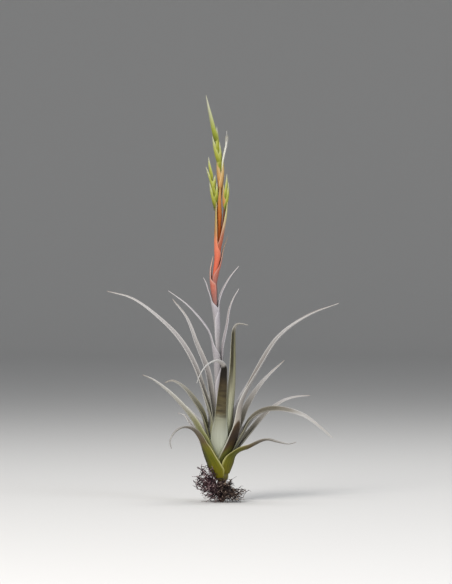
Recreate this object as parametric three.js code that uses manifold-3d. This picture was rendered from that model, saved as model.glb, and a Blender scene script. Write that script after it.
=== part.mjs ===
import * as THREE from 'three';
import * as BufferGeometryUtils from 'three/addons/utils/BufferGeometryUtils.js';
import Module from 'manifold-3d';

// A flowering air plant, picked whole with its roots and standing on them. Millimetres, +Z up.
// Seen from the front (-Y) the long leaves reach to the left (-X) and to the right (+X).
// The origin is on the surface that the plant stands on, under its stem.

const wasm = await Module();
wasm.setup();

// Driving dimensions
const plantHeight = 407;        // surface to the tip of the highest floral bract
const leafThickness = 0.7;
const bractThickness = 0.6;
const tipWidth = 0.9;
const clearance = 0.3;          // air between a sheath and what it wraps
const nearMiss = 0.12;          // pieces that stay this far apart are left whole
const crownBottom = 24;         // height at which the oldest leaf joins the stem
const crownTop = 58;            // height at which the youngest leaf joins the stem
const layerSpacing = 1.15;      // from the middle of one sheath to the next one outside it
const leafWrap = 64;            // degrees to either side that most sheaths reach round at their foot
const sheathLength = 34;
const leafSheathWidth = 21;      // round the sheath from margin to margin
const rootReach = 25;
const rootCount = 24;
const rootThickness = 1.4;
const rootTip = 0.45;           // radius where a root ends
const branchRadius = 0.9;
const claspWidth = 31;          // round a scape bract's sheath from margin to margin

const colours = {
  silver: 0xb4aeb0,
  lilac: 0xa79fab,
  green: 0x9aa07c,
  olive: 0x8c8a3a,
  coral: 0xf0745f,
  salmon: 0xd2956a,
  lime: 0xa9bc55,
  cream: 0xeceada,
  root: 0x4a3632,
  stem: 0x9a9868,
};

const deg = Math.PI / 180;

// The stem's own line: a short upright foot, then a scape that sways to the left and back
const stemLine = [
  [-1.2, 0, 22], [-1.5, 0, 30], [-2.2, 0, 50], [-3.6, 0, 80], [-5.2, 0, 118], [-5.8, 0, 150],
  [-6.3, 0, 178], [-7.8, 0, 200], [-9.2, 0, 216], [-7.7, 0, 229], [-5.7, 0, 242], [-4.7, 0, 256],
  [-4.1, 0, 272], [-3.7, 0, 292], [-2.9, 0, 318], [-2.9, 0, 333], [-4.6, 0, 348], [-6.8, 0, 362],
  [-8.4, 0, 371],
];
const leftBranchLine = [
  [-6.2, 0, 246], [-7.8, -1.8, 262], [-7.4, -2.8, 280], [-7.2, -3, 298], [-9.6, -3, 314], [-11.6, -3, 328],
];
const rightBranchLine = [[-5.0, 0, 250], [-1.9, -1.8, 266], [0.4, -2.8, 282], [1.8, -3, 297],
  [2.4, -3, 309]];

function toVectors(points) {
  return points.map(([x, y, z]) => new THREE.Vector3(x, y, z));
}

// The point of a line of rising points at one height
function pointAt(line, z) {
  const last = line.length - 1;
  let i = 0;
  while (i < last - 1 && line[i + 1][2] < z) i += 1;
  const t = (z - line[i][2]) / (line[i + 1][2] - line[i][2]);
  return new THREE.Vector3(
    THREE.MathUtils.lerp(line[i][0], line[i + 1][0], t),
    THREE.MathUtils.lerp(line[i][1], line[i + 1][1], t),
    z,
  );
}

// A value read off a few [place, value] pairs
function valueAt(pairs, place) {
  if (place <= pairs[0][0]) return pairs[0][1];
  for (let i = 1; i < pairs.length; i += 1) {
    const [x1, v1] = pairs[i];
    const [x0, v0] = pairs[i - 1];
    if (place <= x1) return THREE.MathUtils.lerp(v0, v1, (place - x0) / (x1 - x0));
  }
  return pairs[pairs.length - 1][1];
}

const stemRadii = [
  [22, 6.0], [26, 6.9], [32, 7.0], [50, 5.0], [62, 3.6], [85, 2.2], [120, 1.7], [300, 1.4], [371, 0.9],
];

function stemRadius(z) {
  return valueAt(stemRadii, z);
}

function seededRandom(seed) {
  let state = seed;
  return () => {
    state = (state * 1664525 + 1013904223) % 4294967296;
    return state / 4294967296;
  };
}

// Turns a closed body's faces outwards
function facedOut(geometry) {
  const position = geometry.attributes.position;
  const index = geometry.index.array;
  let volume = 0;
  const [a, b, c] = [new THREE.Vector3(), new THREE.Vector3(), new THREE.Vector3()];
  for (let i = 0; i < index.length; i += 3) {
    a.fromBufferAttribute(position, index[i]);
    b.fromBufferAttribute(position, index[i + 1]);
    c.fromBufferAttribute(position, index[i + 2]);
    volume += a.dot(b.cross(c));
  }
  if (volume < 0) {
    for (let i = 0; i < index.length; i += 3) {
      [index[i + 1], index[i + 2]] = [index[i + 2], index[i + 1]];
    }
  }
  return geometry;
}

function bodyOf(points, index) {
  const geometry = new THREE.BufferGeometry();
  const flat = points.flatMap((p) => [p.x, p.y, p.z]);
  geometry.setAttribute('position', new THREE.Float32BufferAttribute(flat, 3));
  geometry.setIndex(index);
  return facedOut(geometry);
}

// A round body along a line, its radius read at each share of the length
function rodGeometry(line, radii, sides, steps) {
  const curve = new THREE.CatmullRomCurve3(toVectors(line), false, 'centripetal');
  const points = [];
  const index = [];
  const startsAlongX = Math.abs(curve.getTangentAt(0).x) > 0.9;
  let normal = startsAlongX ? new THREE.Vector3(0, 1, 0) : new THREE.Vector3(1, 0, 0);
  for (let i = 0; i <= steps; i += 1) {
    const share = i / steps;
    const tangent = curve.getTangentAt(share);
    const centre = curve.getPointAt(share);
    normal = normal.clone().addScaledVector(tangent, -normal.dot(tangent)).normalize();
    const side = tangent.clone().cross(normal);
    const radius = valueAt(radii, share);
    for (let k = 0; k < sides; k += 1) {
      const turn = (k / sides) * 2 * Math.PI;
      points.push(centre.clone()
        .addScaledVector(normal, radius * Math.cos(turn))
        .addScaledVector(side, radius * Math.sin(turn)));
    }
  }
  for (let i = 0; i < steps; i += 1) {
    for (let k = 0; k < sides; k += 1) {
      const a = i * sides + k;
      const b = i * sides + ((k + 1) % sides);
      index.push(a, b, b + sides, a, b + sides, a + sides);
    }
  }
  const top = steps * sides;
  for (let k = 1; k < sides - 1; k += 1) {
    index.push(0, k + 1, k);
    index.push(top, top + k, top + k + 1);
  }
  return bodyOf(points, index);
}

// The line of a leaf or bract: up the surface of its sheath, then along its blade
function leafLine(spec) {
  const outward = new THREE.Vector3(Math.cos(spec.facing * deg), Math.sin(spec.facing * deg), 0);
  const sheath = [0, 0.28, 0.56].map((share) => {
    const z = spec.bottom + share * spec.sheath;
    return pointAt(spec.axis, z).addScaledVector(outward, spec.seat(z));
  });
  return new THREE.CatmullRomCurve3([...sheath, ...toVectors(spec.blade)], false, 'centripetal');
}

const curveSteps = 120;         // steps along a leaf's line, of which a section is kept at some
const stationCrowding = 1.2;    // above 1, the kept sections stand closer together near the foot
const tightestBend = 0.25;      // least radius inside a folded blade

// One leaf or bract. A round sheath about the axis passes into a channelled, tapering blade.
function leafGeometry(spec) {
  const curve = leafLine(spec);
  const length = curve.getLength();
  const outward = new THREE.Vector3(Math.cos(spec.facing * deg), Math.sin(spec.facing * deg), 0);
  const along = new THREE.Vector3(-outward.y, outward.x, 0);
  const columns = spec.columns;
  const half = spec.thickness / 2 + spec.grown;
  const points = [];
  const index = [];
  const kept = new Set();
  for (let i = 0; i <= spec.stations; i += 1) {
    kept.add(Math.round(curveSteps * (i / spec.stations) ** stationCrowding));
  }
  let normal = outward.clone().negate();
  for (let i = 0; i <= curveSteps; i += 1) {
    const share = i / curveSteps;
    const tangent = curve.getTangentAt(share);
    normal = normal.clone().addScaledVector(tangent, -normal.dot(tangent)).normalize();
    if (!kept.has(i)) continue;
    const place = share * length;
    const point = curve.getPointAt(share);
    const blend = THREE.MathUtils.smoothstep(place, spec.ease[0] * spec.sheath, spec.ease[1] * spec.sheath);
    const bladeShare = THREE.MathUtils.clamp((place - spec.sheath) / (length - spec.sheath), 0, 1);
    const rolled = THREE.MathUtils.smoothstep(place, 0.6 * spec.sheath, 0.5 * (length + spec.sheath));
    const bladeNormal = normal.clone().applyAxisAngle(tangent, spec.roll * deg * rolled);
    const bladeAlong = bladeNormal.clone().cross(tangent);
    const across = along.clone().lerp(bladeAlong, blend).normalize();
    const inward = outward.clone().negate().lerp(bladeNormal, blend);
    inward.addScaledVector(across, -inward.dot(across)).normalize();
    const toAxis = pointAt(spec.axis, point.z).sub(point).setZ(0).length();
    const width = spec.width * (1 - bladeShare) ** spec.taper + tipWidth * bladeShare;
    const fold = valueAt(spec.folds, bladeShare) * deg;
    const bladeFold = Math.min(fold, width / 2 / (half + tightestBend));
    const sheathShare = Math.min(place / spec.sheath, 1);
    const sheathWidth = THREE.MathUtils.lerp(spec.sheathWidth, spec.width, sheathShare ** 2);
    const sheathFold = Math.min(spec.wrap * deg, sheathWidth / 2 / toAxis);
    const spread = THREE.MathUtils.lerp(sheathFold, bladeFold, blend);
    const radius = THREE.MathUtils.lerp(toAxis, width / 2 / bladeFold, blend);
    const lift = spec.centred * blend * 0.5 * radius * (1 - Math.cos(spread));
    const centre = point.clone().addScaledVector(inward, radius - lift);
    for (const side of [half, -half]) {
      for (let k = 0; k <= columns; k += 1) {
        const turn = (spread + spec.grown / radius) * ((2 * k) / columns - 1);
        points.push(centre.clone()
          .addScaledVector(inward, -(radius + side) * Math.cos(turn))
          .addScaledVector(across, (radius + side) * Math.sin(turn)));
      }
    }
  }
  const row = columns + 1;
  const ring = 2 * row;
  for (let i = 0; i < spec.stations; i += 1) {
    const a = i * ring;
    const b = a + ring;
    for (let k = 0; k < columns; k += 1) {
      index.push(a + k, a + k + 1, b + k + 1, a + k, b + k + 1, b + k);
      const c = a + row + k;
      const d = b + row + k;
      index.push(c, d + 1, c + 1, c, d, d + 1);
    }
    index.push(a, b, b + row, a, b + row, a + row);
    const e = a + columns;
    const f = b + columns;
    index.push(e, f + row, f, e, e + row, f + row);
  }
  const top = spec.stations * ring;
  for (let k = 0; k < columns; k += 1) {
    index.push(k, row + k + 1, k + 1, k, row + k, row + k + 1);
    index.push(top + k, top + k + 1, top + row + k + 1, top + k, top + row + k + 1, top + row + k);
  }
  return bodyOf(points, index);
}

// Sheaths nest in layers: the higher the layer, the lower on the stem and the further out
function layerSeat(layer, pitch) {
  return (z) => {
    const below = Math.max(0, (crownTop - z) / pitch);
    const lean = Math.max(0, z - crownTop) * (0.1 + 0.04 * layer);
    return stemRadius(z) + clearance + leafThickness / 2 + layerSpacing * Math.max(0, layer - below) + lean;
  };
}

// The leaves from the youngest to the oldest. A blade starts where its sheath lets it go.
const leaves = [
  { name: 'leaf_back_inner', facing: 95, width: 10, roll: 0,
    blade: [[2, 8, 86], [7, 15, 118], [10, 26, 141], [11, 40, 151], [11.5, 54, 149]] },
  { name: 'leaf_left_inner', facing: 150, width: 12, roll: -25,
    blade: [[-9, 4.5, 86], [-12, 7, 110], [-16, 10, 132], [-26.6, 17, 158.5], [-36.5, 24, 184],
      [-51, 33, 203]] },
  { name: 'leaf_back_upright', facing: 112, width: 10, roll: 0,
    blade: [[-5, 11, 86], [-6, 17, 122], [-6, 27, 147], [-6, 41, 158], [-6, 54, 156]] },
  { name: 'leaf_left_long', facing: 172, width: 12.5, roll: -34,
    blade: [[-11.5, 3, 82], [-17.5, 5, 105], [-29, 9, 138], [-43, 13, 162], [-62, 17, 182],
      [-91, 22, 203.5], [-117, 26, 211]] },
  { name: 'leaf_back_right', facing: 58, width: 11, roll: 0,
    blade: [[10.5, 15, 84], [18.5, 27, 103], [25.5, 43, 116], [29, 58, 120.5], [31, 74, 119]] },
  { name: 'leaf_front_right', facing: -48, width: 15, roll: 0, taper: 0.62, stations: 15,
    blade: [[6.7, -11, 88], [9.2, -12.5, 115], [10.3, -14, 139], [10.6, -16, 160], [11.5, -19, 174],
      [15, -22, 178.5], [25.3, -26, 177]] },
  { name: 'leaf_back_left', facing: 126, width: 12, roll: 0,
    blade: [[-11.5, 16, 84], [-18, 29, 106], [-23, 45, 121], [-27, 62, 129], [-28, 78, 128]] },
  { name: 'leaf_left_recurved', facing: 178, width: 14, roll: -38,
    blade: [[-19.5, 1, 86], [-30, 2, 103.7], [-41.5, 3, 116.5], [-51.5, 4, 121.4], [-58.5, 4, 119]] },
  { name: 'leaf_front', facing: -95, width: 16.5, roll: 0, taper: 1.05, stations: 15,
    blade: [[-2.6, -17, 82], [-1, -19.5, 105], [0.5, -23, 126], [0.5, -30, 137], [-6, -38, 142],
      [-16, -45, 138], [-23, -49, 128], [-26, -50.5, 120]] },
  { name: 'leaf_back_low_right', facing: 78, width: 12, roll: 0,
    blade: [[3, 24, 72], [7, 42, 84], [10, 62, 89], [12, 82, 84], [12, 98, 74]] },
  { name: 'leaf_right_short', facing: 40, width: 12, roll: 20,
    blade: [[18, 15, 80], [22.6, 18, 92.5], [35.5, 26, 114], [46, 32, 126], [62, 39, 141]] },
  { name: 'leaf_right_long', facing: -30, width: 16.5, roll: 58, wrap: 84, sheathWidth: 26,
    blade: [[14.8, -11, 78], [18, -10, 99], [35.5, -3, 134], [56, 4, 165.5], [86, 12, 187],
      [117, 18, 199]] },
  { name: 'leaf_back_low_left', facing: 134, width: 12, roll: 0,
    blade: [[-18, 20, 72], [-26, 34, 84], [-35, 50, 93], [-42, 64, 98], [-48, 78, 98]] },
  { name: 'leaf_right_low_back', facing: 52, width: 12, roll: 0,
    blade: [[18, 24, 68], [29, 38, 80], [40, 52, 87], [50, 66, 90], [58, 78, 88]] },
  { name: 'leaf_right_arching', facing: -2, width: 12.5, roll: 30,
    blade: [[20.5, -2, 70], [25.5, -3, 80.5], [33, -5, 88], [43, -9, 92.5], [58, -15, 93.5],
      [80, -25, 87.5], [94, -31, 78], [109, -37, 65]] },
  { name: 'leaf_left_broad', facing: -158, width: 17, roll: 0, taper: 0.75,
    blade: [[-27.5, -10, 80], [-39.6, -14, 96], [-55, -19, 112], [-70, -24, 123.5], [-80, -27, 128]] },
  { name: 'leaf_right_middle', facing: 24, width: 12, roll: 20,
    blade: [[28, 11, 71], [42, 17, 87], [54, 21, 96.5], [64, 24, 102], [77, 27, 105],
      [88, 29, 105.6]] },
  { name: 'leaf_left_low_back', facing: 150, width: 11, roll: 0,
    blade: [[-25, 14, 66], [-33, 20, 78], [-39, 25, 86], [-45.5, 31, 88]] },
  { name: 'leaf_back_lowest', facing: 104, width: 12, roll: 0,
    blade: [[-8, 32, 55], [-10, 50, 66], [-10, 68, 69], [-8, 84, 63], [-5, 94, 53]] },
  { name: 'leaf_right_low', facing: -24, width: 12, roll: 0, sheathWidth: 29,
    blade: [[28, -12, 57], [43, -19, 63.5], [54, -24, 61.5], [65, -29, 59.5], [73, -33, 61.5]] },
  { name: 'leaf_left_curled', facing: -138, width: 12, roll: 0, sheathWidth: 28,
    blade: [[-23, -18, 66], [-31, -24, 74.5], [-40, -30, 76], [-48, -34, 71], [-52.5, -36, 62],
      [-51, -35, 54.5]] },
];

const leafFolds = [[0, 58], [0.45, 66], [0.8, 70], [1, 45]];

// Each leaf lies one layer outside the outermost younger leaf that its sheath meets
function leafLayers() {
  const layers = [];
  leaves.forEach((leaf, k) => {
    let layer = 0;
    for (let j = 0; j < k; j += 1) {
      const turn = Math.abs(((leaf.facing - leaves[j].facing + 540) % 360) - 180);
      if (turn < 2 * leafWrap) layer = Math.max(layer, layers[j] + 1);
    }
    layers.push(layer);
  });
  return layers;
}

function leafSpec(leaf, layer, pitch) {
  return {
    wrap: leafWrap,
    sheathWidth: leafSheathWidth,
    taper: 0.85,
    stations: 11,
    ...leaf,
    axis: stemLine,
    bottom: crownTop - layer * pitch,
    seat: layerSeat(layer, pitch),
    sheath: sheathLength,
    folds: leafFolds,
    ease: [0.5, 1.2],
    centred: 1,
    thickness: leafThickness,
    columns: 4,
  };
}

function leafColour(rank) {
  if (rank > 15) return colours.green;
  return rank > 7 ? colours.silver : colours.lilac;
}

// Bracts of the scape. Each clasps its axis in a sheath that widens upwards round the next one's foot.
const scapeBracts = [
  { name: 'scape_bract_1', facing: 12, bottom: 74, sheath: 66, wide: 4.3, width: 8, roll: 20,
    colour: colours.lilac,
    blade: [[-0.6, 0.4, 150], [0.6, 0.5, 160], [4, 1, 176], [6.5, 1.5, 193], [10.5, 2, 204],
      [16, 3, 213.5]] },
  { name: 'scape_bract_2', facing: 186, bottom: 112, sheath: 48, wide: 4.2, width: 7, roll: -20,
    colour: colours.lilac,
    blade: [[-12.6, -0.4, 168], [-18, -1, 177], [-26, -1.6, 187], [-36, -2.4, 197.5], [-47, -3, 206],
      [-55, -3.5, 211.5]] },
  { name: 'scape_bract_3', facing: 5, bottom: 148, sheath: 44, wide: 4.2, width: 6.5, roll: 20,
    wrap: 130, colour: colours.lilac,
    blade: [[-4.2, 0, 198], [-2.6, 0, 206], [1, 0.6, 214.5], [7, 1, 225], [12, 1.2, 231.5],
      [16, 1.6, 236]] },
  { name: 'scape_bract_4', facing: 176, bottom: 172, sheath: 30, wide: 3.6, width: 5, roll: -10,
    colour: colours.lilac,
    blade: [[-12.4, -0.2, 206], [-14.6, -0.4, 212], [-16.6, -0.6, 218.5], [-19.5, -0.6, 224.5]] },
  { name: 'scape_bract_5', facing: 12, bottom: 209, sheath: 29, wide: 3.9, width: 7, roll: 0,
    sheathWidth: 20, colour: colours.coral,
    blade: [[-3, 0.2, 236], [-1.4, 0.6, 244], [0.4, 1.2, 253], [2.6, 1.8, 259.5], [4.8, 2, 265.5]] },
  { name: 'scape_bract_6', facing: 168, bottom: 197, sheath: 28, wide: 4.2, width: 6, roll: 0,
    colour: colours.coral,
    blade: [[-12.4, 0, 231], [-11.4, -0.4, 238], [-9.6, -0.8, 246]] },
];

// Primary bracts, one below each branch and one round the middle of the axis
const primaryBracts = [
  { name: 'primary_bract_left', facing: -150, bottom: 223, sheath: 33, wide: 3.3, wrap: 135,
    width: 7, roll: 0, colour: colours.coral,
    blade: [[-7.5, -3.2, 264], [-7.2, -4.4, 276], [-7, -5.4, 288], [-6.7, -6, 300]] },
  { name: 'primary_bract_right', facing: -22, bottom: 240, sheath: 21, wide: 3.1, wrap: 85, width: 8,
    roll: 0, colour: colours.salmon,
    blade: [[-0.6, -2.8, 266], [1.5, -4.4, 277], [3.3, -5.4, 288], [4.4, -6, 300]] },
  { name: 'primary_bract_middle', facing: -84, bottom: 250, sheath: 38, wide: 2.5, wrap: 140,
    width: 6.5, roll: 0, colour: colours.salmon,
    blade: [[-3.5, -3.1, 298], [-3.1, -3.8, 307], [-2.9, -4.3, 316]] },
];

// Floral bracts in two rows up each spike: which way each faces, where it sits and where it ends
const spikes = [
  { name: 'spike_top', axis: stemLine, bracts: [
    { facing: 182, bottom: 352, sheath: 12, width: 13, colour: colours.lime,
      blade: [[-11.6, 0, 374], [-13.2, 0, 383], [-15.5, 0, 396], [-17, 0, plantHeight]] },
    { facing: 2, bottom: 344, sheath: 10, width: 12, colour: colours.lime,
      blade: [[-4.2, 0, 361], [-5, 0, 368], [-6.2, 0, 375.3]] },
    { facing: 178, bottom: 331, sheath: 11, width: 13, colour: colours.lime,
      blade: [[-8, 0, 347], [-9.6, 0, 356], [-10.7, 0, 366]] },
    { facing: -4, bottom: 327, sheath: 10, width: 12.5, colour: colours.lime,
      blade: [[-1.3, 0, 341], [-1.7, 0, 350], [-3.4, 0, 360.2]] },
    { facing: 184, bottom: 310, sheath: 14, width: 12.5, colour: colours.salmon,
      blade: [[-6, 0, 328], [-6.3, 0, 336], [-6.2, 0, 344]] },
    { facing: 8, bottom: 303, sheath: 15, width: 13.5, colour: colours.salmon,
      blade: [[0.5, 0, 322], [0.9, 0, 331], [0.4, 0, 341]] },
  ] },
  { name: 'spike_left', axis: leftBranchLine, bracts: [
    { facing: 180, bottom: 317, sheath: 8, width: 10, colour: colours.lime,
      blade: [[-13.4, -3, 329], [-14.4, -3, 337], [-14.5, -3, 345]] },
    { facing: 0, bottom: 309, sheath: 8, width: 10, colour: colours.lime,
      blade: [[-7.4, -3, 319], [-7.4, -3, 323], [-7.8, -3, 327]] },
    { facing: 180, bottom: 300, sheath: 8, width: 10.5, colour: colours.lime,
      blade: [[-11.8, -3, 316], [-14.6, -3, 326], [-17.2, -3, 335.5]] },
    { facing: 0, bottom: 297, sheath: 7, width: 10, colour: colours.lime,
      blade: [[-5, -3, 306], [-5.2, -3, 313], [-6.4, -3, 319]] },
    { facing: 180, bottom: 291, sheath: 7, width: 10, colour: colours.lime,
      blade: [[-10.6, -3, 300], [-12.6, -3, 311], [-13.4, -3, 319.5]] },
  ] },
  { name: 'spike_right', axis: rightBranchLine, bracts: [
    { facing: 0, bottom: 298, sheath: 8, width: 10, colour: colours.lime,
      blade: [[4.4, -3, 311], [4.5, -3, 320], [3.9, -3, 328]] },
    { facing: 180, bottom: 294, sheath: 7, width: 9, colour: colours.salmon,
      blade: [[-0.4, -3, 304], [0, -3, 311], [0.2, -3, 317.5]] },
    { facing: 0, bottom: 289, sheath: 7, width: 10, colour: colours.lime,
      blade: [[4.8, -3, 299], [5.9, -3, 310], [5.6, -3, 319.5]] },
  ] },
];

const bractFolds = [[0, 122], [0.6, 110], [1, 45]];

// A bract's distance from its axis, growing from foot to mouth
function clasp(spec, foot) {
  const inner = foot + clearance + bractThickness / 2;
  return (z) => THREE.MathUtils.lerp(inner, spec.wide, Math.min((z - spec.bottom) / spec.sheath, 1));
}

function claspSpec(bract, foot, axis) {
  return {
    wrap: 150,
    ...bract,
    axis,
    seat: clasp(bract, foot),
    sheathWidth: bract.sheathWidth ?? claspWidth,
    folds: leafFolds,
    ease: [0.7, 1.25],
    centred: 1,
    taper: 0.85,
    thickness: bractThickness,
    stations: 8,
    columns: 5,
  };
}

function floralSpec(bract, axis) {
  return {
    ...bract,
    axis,
    wrap: 120,
    roll: 0,
    seat: clasp({ ...bract, wide: 2.4 }, branchRadius),
    sheathWidth: bract.width,
    folds: bractFolds,
    ease: [0.5, 1.2],
    centred: 0,
    taper: 0.7,
    thickness: bractThickness,
    stations: 5,
    columns: 4,
  };
}

const plant = new THREE.Group();

function addPiece(name, geometry, colour, roughness = 0.75) {
  const material = new THREE.MeshStandardMaterial({ color: colour, roughness, metalness: 0 });
  const mesh = new THREE.Mesh(geometry, material);
  mesh.name = name;
  plant.add(mesh);
  return mesh;
}

function solidOf(geometry) {
  return new wasm.Manifold(new wasm.Mesh({
    numProp: 3,
    vertProperties: new Float32Array(geometry.attributes.position.array),
    triVerts: new Uint32Array(geometry.index.array),
  }));
}

function positionOnly(geometry) {
  geometry.deleteAttribute('normal');
  geometry.deleteAttribute('uv');
  return geometry;
}

function geometryOf(solid) {
  const mesh = solid.getMesh();
  const geometry = new THREE.BufferGeometry();
  geometry.setAttribute('position', new THREE.BufferAttribute(new Float32Array(mesh.vertProperties), 3));
  geometry.setIndex(new THREE.BufferAttribute(new Uint32Array(mesh.triVerts), 1));
  return geometry;
}

// What stands already, each piece as two grown copies of itself
const placed = [];

function remember(grownBy) {
  placed.push({ near: grownBy(nearMiss), cleared: grownBy(clearance) });
}

// A solid gives way to each piece that stands in its way, and loses the scraps that this cuts off
function givenWay(solid) {
  let rest = solid;
  for (const other of placed) {
    if (rest.intersect(other.near).volume() > 0) rest = rest.subtract(other.cleared);
  }
  const scraps = rest.decompose();
  scraps.sort((a, b) => b.volume() - a.volume());
  return scraps[0];
}

function placeLeaf(name, spec, colour) {
  const leafSolid = (grown) => solidOf(leafGeometry({ ...spec, grown }));
  addPiece(name, geometryOf(givenWay(leafSolid(0))), colour);
  remember(leafSolid);
}

function buildStem() {
  const bottom = stemLine[0][2];
  const top = stemLine[stemLine.length - 1][2];
  const stemSolid = (extra) => {
    const radii = stemRadii.map(([z, radius]) => [(z - bottom) / (top - bottom), radius + extra]);
    const branch = [[0, branchRadius + extra], [1, branchRadius + extra]];
    const main = solidOf(rodGeometry(stemLine, radii, 7, 26));
    const left = solidOf(rodGeometry(leftBranchLine, branch, 5, 7));
    const right = solidOf(rodGeometry(rightBranchLine, branch, 5, 6));
    return main.add(left).add(right);
  };
  addPiece('stem', geometryOf(stemSolid(0)), colours.stem);
  remember(stemSolid);
}

function buildLeaves() {
  const layers = leafLayers();
  const pitch = (crownTop - crownBottom) / Math.max(...layers);
  leaves.forEach((leaf, rank) => {
    placeLeaf(leaf.name, leafSpec(leaf, layers[rank], pitch), leafColour(rank));
  });
}

function buildBracts() {
  for (const bract of [...scapeBracts, ...primaryBracts]) {
    placeLeaf(bract.name, claspSpec(bract, stemRadius(bract.bottom), stemLine), bract.colour);
  }
  for (const spike of spikes) {
    spike.bracts.forEach((bract, i) => {
      placeLeaf(`${spike.name}_bract_${i + 1}`, floralSpec(bract, spike.axis), bract.colour);
    });
  }
}

// The one open flower: a narrow tube with three short lobes, and the stamens that stand out of it
function buildFlower() {
  const tubeLine = [[-1.2, -1.0, 331], [-0.2, -1.7, 341], [1.0, -2.2, 347], [2.1, -2.5, 352],
    [3.5, -2.6, 358]];
  let corolla = solidOf(rodGeometry(tubeLine, [[0, 0.7], [0.5, 1.0], [1, 1.25]], 7, 6));
  const mouth = tubeLine[tubeLine.length - 1];
  for (const turn of [30, 150, 270]) {
    const [x, y] = [Math.cos(turn * deg), Math.sin(turn * deg)];
    const lobe = [
      [mouth[0] + 0.7 * x - 0.2, mouth[1] + 0.7 * y, mouth[2] - 1.5],
      [mouth[0] + 1.2 * x, mouth[1] + 1.2 * y, mouth[2] + 1.4],
      [mouth[0] + 2.4 * x, mouth[1] + 2.4 * y, mouth[2] + 2.8],
    ];
    corolla = corolla.add(solidOf(rodGeometry(lobe, [[0, 0.5], [0.6, 0.55], [1, 0.3]], 4, 3)));
  }
  addPiece('flower_corolla', geometryOf(givenWay(corolla)), colours.cream, 0.6);

  const foot = [mouth[0] + 0.05, mouth[1], mouth[2] + 0.4];
  const bundle = [foot, [foot[0] + 0.3, foot[1], foot[2] + 2]];
  let stamens = solidOf(rodGeometry(bundle, [[0, 0.3], [1, 0.6]], 6, 2));
  for (let i = 0; i < 6; i += 1) {
    const turn = (i / 6) * 2 * Math.PI;
    const [x, y] = [Math.cos(turn), Math.sin(turn)];
    const reach = 7 + 1.4 * (i % 3);
    const filament = [
      [foot[0] + 0.1 * x, foot[1] + 0.1 * y, foot[2] + 0.6],
      [foot[0] + 0.4 + 0.8 * x, foot[1] + 0.8 * y, foot[2] + 0.6 * reach],
      [foot[0] + 0.6 + 1.3 * x, foot[1] + 1.3 * y, foot[2] + reach],
    ];
    stamens = stamens.add(solidOf(rodGeometry(filament, [[0, 0.3], [0.8, 0.3], [1, 0.45]], 4, 3)));
  }
  addPiece('flower_stamens', geometryOf(stamens), colours.cream, 0.6);
}

// Wiry roots in a tuft round a matted heart. They spread widest to the left. The heart starts below
// the surface and is cut off level with it, which leaves it one flat underside.
function buildRoots() {
  const random = seededRandom(7);
  const heart = pointAt(stemLine, stemLine[0][2]);
  const heartTop = heart.z - clearance;
  const heartFoot = -2;
  let tuft = solidOf(rodGeometry(
    [[heart.x, 0, heartFoot], [heart.x, 0, 6], [heart.x, 0, heartTop]],
    [[0, 7], [0.3, 4.6], [0.75, 4.8], [1, 5.2]],
    9,
    4,
  ));
  for (let i = 0; i < rootCount; i += 1) {
    const turn = i * 137.5 * deg;
    const [x, y] = [Math.cos(turn), Math.sin(turn)];
    const reach = rootReach * (0.72 + 0.3 * random()) * (1 - 0.28 * x);
    const ground = i % 3 === 0;
    const start = 4 + 14 * random();
    const rise = ground ? 2 + 5 * random() : 3 + 16 * random() - 8 * Math.min(x, 0);
    const end = ground ? 0.3 : 2 + 16 * random() ** 1.5 - 12 * Math.min(x, 0);
    const sway = (random() - 0.5) * 0.5 * reach;
    const curl = (random() - 0.5) * 0.7 * reach;
    const line = [
      [heart.x + 3 * x, 3 * y, start],
      [heart.x + 0.4 * reach * x - 0.3 * sway * y, 0.4 * reach * y + 0.3 * sway * x, 0.5 * (start + rise)],
      [heart.x + 0.72 * reach * x - sway * y, 0.72 * reach * y + sway * x, Math.min(rise, 0.9 * reach)],
      [heart.x + reach * x - curl * y, reach * y + curl * x, end],
    ];
    const radii = [[0, rootThickness / 2], [0.7, rootThickness / 2], [1, rootTip]];
    tuft = tuft.add(solidOf(rodGeometry(line, radii, 3, 6)));
  }
  const underside = new THREE.BoxGeometry(200, 200, 20).translate(0, 0, -10);
  tuft = tuft.subtract(solidOf(BufferGeometryUtils.mergeVertices(positionOnly(underside))));
  addPiece('root_tuft', geometryOf(givenWay(tuft)), colours.root, 0.9);
}

buildStem();
buildBracts();
buildLeaves();
buildFlower();
buildRoots();

export default plant;
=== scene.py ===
import math
import random

import bmesh
import bpy
from mathutils import Matrix, Vector, noise


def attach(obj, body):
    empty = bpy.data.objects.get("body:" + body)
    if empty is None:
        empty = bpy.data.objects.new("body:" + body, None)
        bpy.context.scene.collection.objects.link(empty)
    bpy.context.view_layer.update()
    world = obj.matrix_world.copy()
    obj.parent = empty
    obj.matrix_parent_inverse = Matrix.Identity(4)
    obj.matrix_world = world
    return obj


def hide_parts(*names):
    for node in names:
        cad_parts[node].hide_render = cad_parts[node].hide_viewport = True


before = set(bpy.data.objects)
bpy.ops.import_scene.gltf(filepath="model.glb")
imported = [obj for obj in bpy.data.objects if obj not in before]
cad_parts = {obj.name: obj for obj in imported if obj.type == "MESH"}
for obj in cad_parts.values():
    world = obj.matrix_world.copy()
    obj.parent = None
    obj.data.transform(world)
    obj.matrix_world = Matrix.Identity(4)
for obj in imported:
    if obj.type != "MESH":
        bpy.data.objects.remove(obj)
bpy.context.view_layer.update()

# A flowering air plant, whole and bare-rooted. Places are in millimetres here, and mm turns them to metres.
mm = 0.001


def linear(code):
    # sRGB hex to the linear colour that a shader takes
    parts = [int(code[i:i + 2], 16) / 255 for i in (1, 3, 5)]
    return [c / 12.92 if c <= 0.04045 else ((c + 0.055) / 1.055) ** 2.4 for c in parts] + [1.0]


def smooth(value, low, high):
    share = min(max((value - low) / (high - low), 0), 1)
    return share * share * (3 - 2 * share)


def mix(a, b, share):
    return a + (b - a) * share


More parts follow.
